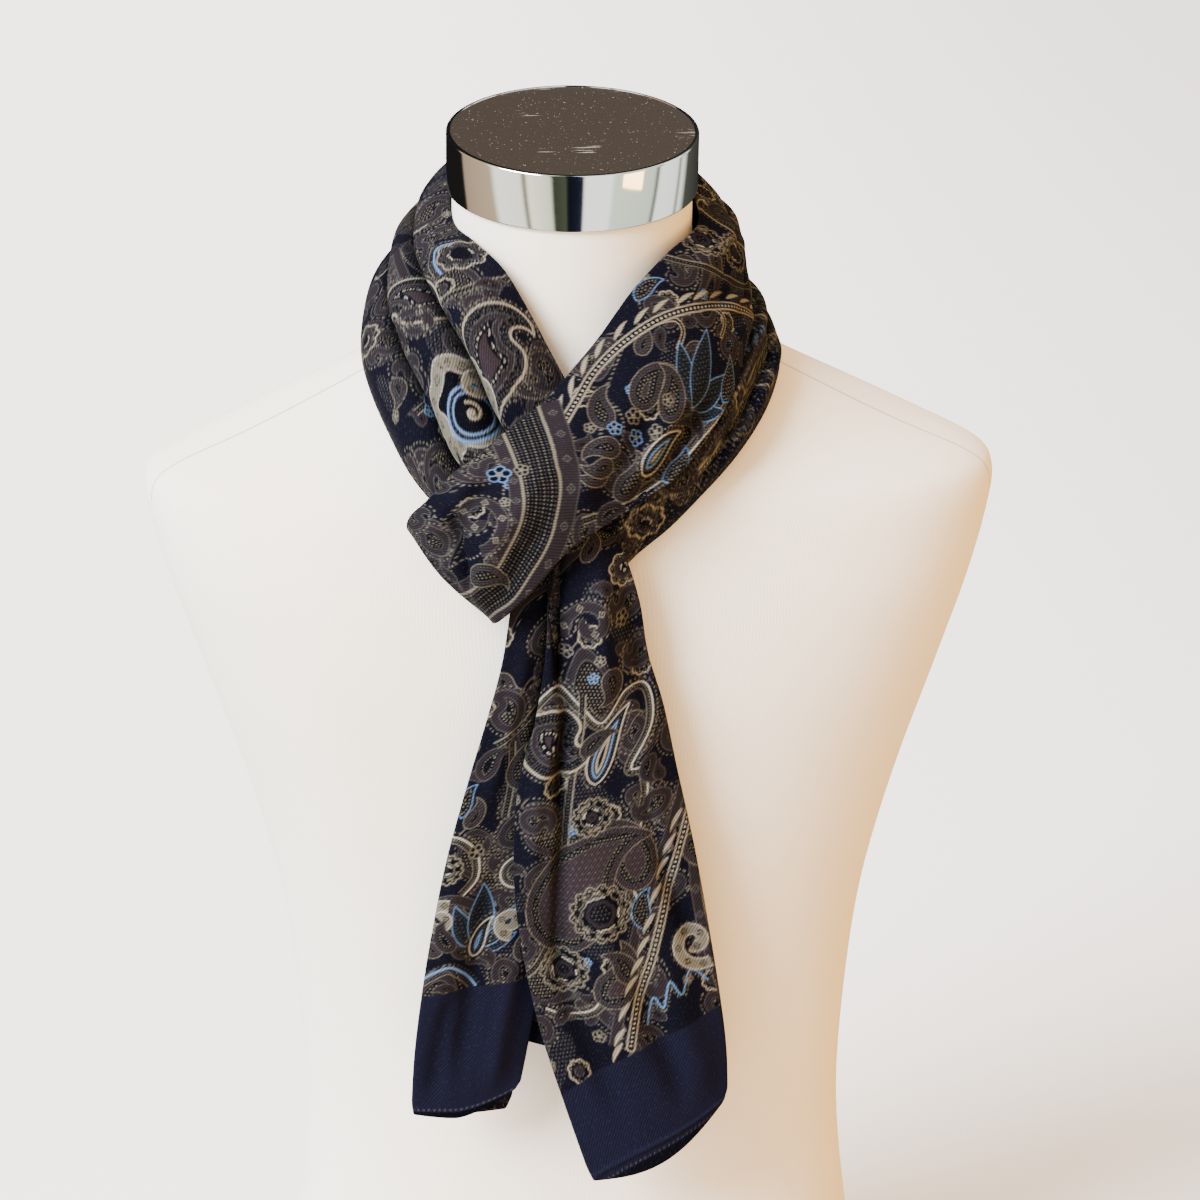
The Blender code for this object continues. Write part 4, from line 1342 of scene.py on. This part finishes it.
def select_faces(mesh, wanted):
    """Select, in edit mode, the faces that a test of centre and normal picks."""
    bpy.ops.object.mode_set(mode="EDIT")
    bpy.ops.mesh.select_mode(type="FACE")
    bpy.ops.mesh.select_all(action="DESELECT")
    bpy.ops.object.mode_set(mode="OBJECT")
    for face in mesh.polygons:
        face.select = wanted(face.center, face.normal)
    bpy.ops.object.mode_set(mode="EDIT")


def select_end(mesh, height, side):
    """Select the flat end of an upright cylinder: 1 for the top, -1 for the bottom."""
    select_faces(mesh, lambda centre, normal: side * normal.z > 0.99
                 and side * centre.z > height * 0.49)


def inset_steps(steps):
    """Step the selected face inwards and up, in millimetres, and leave edit mode."""
    for inwards, up in steps:
        bpy.ops.mesh.inset(thickness=inwards * MM, depth=up * MM)
    bpy.ops.object.mode_set(mode="OBJECT")


def add_cap():
    """A turned cap: a mirror side with rounded rims and a dull, slightly sunk top."""
    radius, height = CAP_RADIUS * MM, CAP_HEIGHT * MM
    bpy.ops.object.select_all(action="DESELECT")
    bpy.ops.mesh.primitive_cylinder_add(vertices=CAP_SIDES, radius=radius, depth=height)
    cap = bpy.context.object
    cap.name = cap.data.name = "metal_cap"
    select_faces(cap.data, lambda centre, normal: abs(normal.z) > 0.9)
    bpy.ops.mesh.bevel(offset=CAP_EDGE * MM, segments=4, affect="EDGES")
    select_end(cap.data, height, 1)
    inset_steps(CAP_SUNK)
    for material in (chrome_material(), cap_top_material()):
        cap.data.materials.append(material)
    for face in cap.data.polygons:
        face.material_index = int(face.normal.z > 0.99 and face.center.z > 0.4 * height
                                  and len(face.vertices) > 20)
    select_end(cap.data, height, -1)
    inset_steps(CAP_UNDERCUT)
    lean = Matrix.Rotation(NECK_TILT, 4, "X")
    cap.matrix_world = (Matrix.Translation(Vector(CAP_TOP) * MM) @ lean
                        @ Matrix.Translation((0, 0, -height / 2)))
    bpy.ops.object.transform_apply(location=True, rotation=True, scale=True)
    bpy.ops.object.shade_smooth_by_angle(angle=math.radians(30))
    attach(cap, "root")
    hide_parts("neck_cap")


class SCARF_OT_stage(bpy.types.Operator):
    """Add the floor, the soft light and the camera"""
    bl_idname = "scarf.stage"
    bl_label = "Stage"

    def execute(self, context):
        settings = context.scene.scarf_stage
        add_floor()
        add_camera(context.scene)
        key = add_light("key_light", "SUN", KEY_PLACE, settings.key, "eef3ff")
        key.data.angle = math.radians(KEY_SPREAD)
        fill = add_light("fill_light", "AREA", FILL_PLACE, settings.fill, "ffc673")
        fill.data.shape = "SQUARE"
        fill.data.size = FILL_SIZE
        fill.visible_camera = False
        add_studio_air(settings.air)
        return {"FINISHED"}


def add_floor():
    """A pale floor, with painted shade that makes it greyer towards the right."""
    bpy.ops.object.select_all(action="DESELECT")
    bpy.ops.mesh.primitive_plane_add(size=FLOOR_SIZE)
    floor = bpy.context.object
    floor.name = "floor"
    material, tree, place = new_material("Pale studio floor")
    parts = add_node(tree, "ShaderNodeSeparateXYZ", {0: place["Object"]}).outputs
    # painted shade: the floor turns greyer from its middle towards the right
    aside = stretched(tree, parts["X"], 0.0, FLOOR_SHADE_WIDTH)
    show_surface(tree, Base_Color=blend(tree, aside, rgba("fffdf8"), rgba("cfcdc9")),
                 Roughness=0.9)
    floor.data.materials.append(material)
    floor.visible_glossy = False
    floor.visible_diffuse = False   # the form is lit from below by the studio air


def add_camera(scene):
    """The camera, a little to the left of the scarf and above it."""
    around, up = (math.radians(angle) for angle in CAMERA_ANGLES)
    back = (math.sin(around) * math.cos(up), -math.cos(around) * math.cos(up), math.sin(up))
    bpy.ops.object.camera_add(
        location=[t + b * CAMERA_DISTANCE for t, b in zip(CAMERA_TARGET, back)],
        rotation=(math.pi / 2 - up, 0, around))
    camera = bpy.context.object
    camera.data.sensor_width = SENSOR
    camera.data.lens = SENSOR * CAMERA_DISTANCE / FRAME_WIDTH
    scene.camera = camera


def add_light(name, kind, place, power, colour):
    """A soft light that faces the scarf."""
    aim = np.array(LIGHT_TARGET) - np.array(place)
    turn = (math.acos(-aim[2] / np.linalg.norm(aim)), 0, math.atan2(-aim[0], aim[1]))
    bpy.ops.object.light_add(type=kind, location=place, rotation=turn)
    light = bpy.context.object
    light.name = name
    light.data.energy = power
    light.data.color = linear(colour)
    return light


# The stage, in metres and degrees.
FLOOR_SIZE, FLOOR_SHADE_WIDTH = 30, 1.1
CAMERA_ANGLES = -4.0, 17.0      # round from the front, and up
CAMERA_DISTANCE, CAMERA_TARGET = 2.4, (0.0145, -0.02, 0.440)
FRAME_WIDTH, SENSOR = 0.632, 36     # metres across at the target, and millimetres
LIGHT_TARGET = (0, -0.05, 0.45)
KEY_PLACE, KEY_SPREAD = (-2.2, -1.7, 2.4), 34       # how wide the soft sun is, in degrees
FILL_PLACE, FILL_SIZE = (1.25, -0.95, 0.30), 0.55   # how wide the warm panel is
# What the mirror of the cap sees round the studio: from the back, round by the left, the
# front and the right, as a share of the turn and a grey or a colour.
STUDIO_WALLS = (
    (0.000, "101010"), (0.155, "141312"), (0.165, "8d7a66"), (0.262, "a08d78"),
    (0.280, "ecebe6"), (0.350, "e8e4d6"), (0.362, "4a463c"), (0.374, "efe9d0"),
    (0.430, "c9ccba"), (0.440, "2c3026"), (0.472, "3b3f33"), (0.478, "0b0d14"),
    (0.516, "141826"), (0.524, "f2f2ee"), (0.590, "f4f4f0"), (0.604, "c3cbbd"),
    (0.716, "b9c0b2"), (0.728, "33362f"), (0.738, "e8e8e4"), (0.800, "dfe0dc"),
    (0.812, "6f7169"), (0.826, "d9d9d4"), (0.850, "3a3a36"), (1.000, "101010"),
)


def add_studio_air(strength):
    """Even light from all round. Only mirrors see the studio's upright bands."""
    world = bpy.data.worlds.new("Studio air")
    bpy.context.scene.world = world
    tree, place = empty_tree(world)
    parts = add_node(tree, "ShaderNodeSeparateXYZ", {0: place["Generated"]}).outputs
    # daylight from the left, and a warm room on the right
    side = stretched(tree, parts["X"], -0.55, 0.6)
    even = add_node(tree, "ShaderNodeBackground", {
        "Color": blend(tree, side, rgba("fbfcff"), rgba("e9b160")), "Strength": strength})
    front = math_node(tree, "MULTIPLY", parts["Y"], -1.0)
    turn = math_node(tree, "ARCTAN2", parts["X"], front)
    walls = add_node(tree, "ShaderNodeValToRGB", {
        "Fac": stretched(tree, turn, -math.pi, math.pi)})
    ramp = walls.color_ramp
    ramp.elements.remove(ramp.elements[1])
    for i, (at, colour) in enumerate(STUDIO_WALLS):
        stop = ramp.elements[0] if i == 0 else ramp.elements.new(at)
        stop.position = at
        stop.color = rgba(colour)
    banded = add_node(tree, "ShaderNodeBackground", {
        "Color": walls.outputs[0], "Strength": strength})
    ray = add_node(tree, "ShaderNodeLightPath")
    mixed = add_node(tree, "ShaderNodeMixShader", {
        0: ray.outputs["Is Glossy Ray"], 1: even.outputs[0], 2: banded.outputs[0]})
    show_surface(tree, "ShaderNodeOutputWorld", mixed.outputs[0])


class SCARF_PT_panel(bpy.types.Panel):
    """The scarf's pieces and sizes"""
    bl_idname = "SCARF_PT_panel"
    bl_label = "Scarf"
    bl_space_type = "VIEW_3D"
    bl_region_type = "UI"
    bl_category = "Scarf"

    def draw(self, context):
        for settings in (context.scene.scarf_cloth, context.scene.scarf_stage):
            for name in type(settings).__annotations__:
                self.layout.prop(settings, name)
        for operator in OPERATORS:
            self.layout.operator(operator.bl_idname)


OPERATORS = (SCARF_OT_form, SCARF_OT_collar, SCARF_OT_front, SCARF_OT_tails, SCARF_OT_stage)
CLASSES = (ScarfCloth, ScarfStage) + OPERATORS + (SCARF_PT_panel,)


def register():
    for kind in CLASSES:
        bpy.utils.register_class(kind)
    bpy.types.Scene.scarf_cloth = bpy.props.PointerProperty(type=ScarfCloth)
    bpy.types.Scene.scarf_stage = bpy.props.PointerProperty(type=ScarfStage)


def unregister():
    del bpy.types.Scene.scarf_stage
    del bpy.types.Scene.scarf_cloth
    for kind in reversed(CLASSES):
        bpy.utils.unregister_class(kind)


def main():
    register()
    for operator in OPERATORS:
        getattr(bpy.ops.scarf, operator.bl_idname.split(".")[1])()


if __name__ == "__main__":
    main()
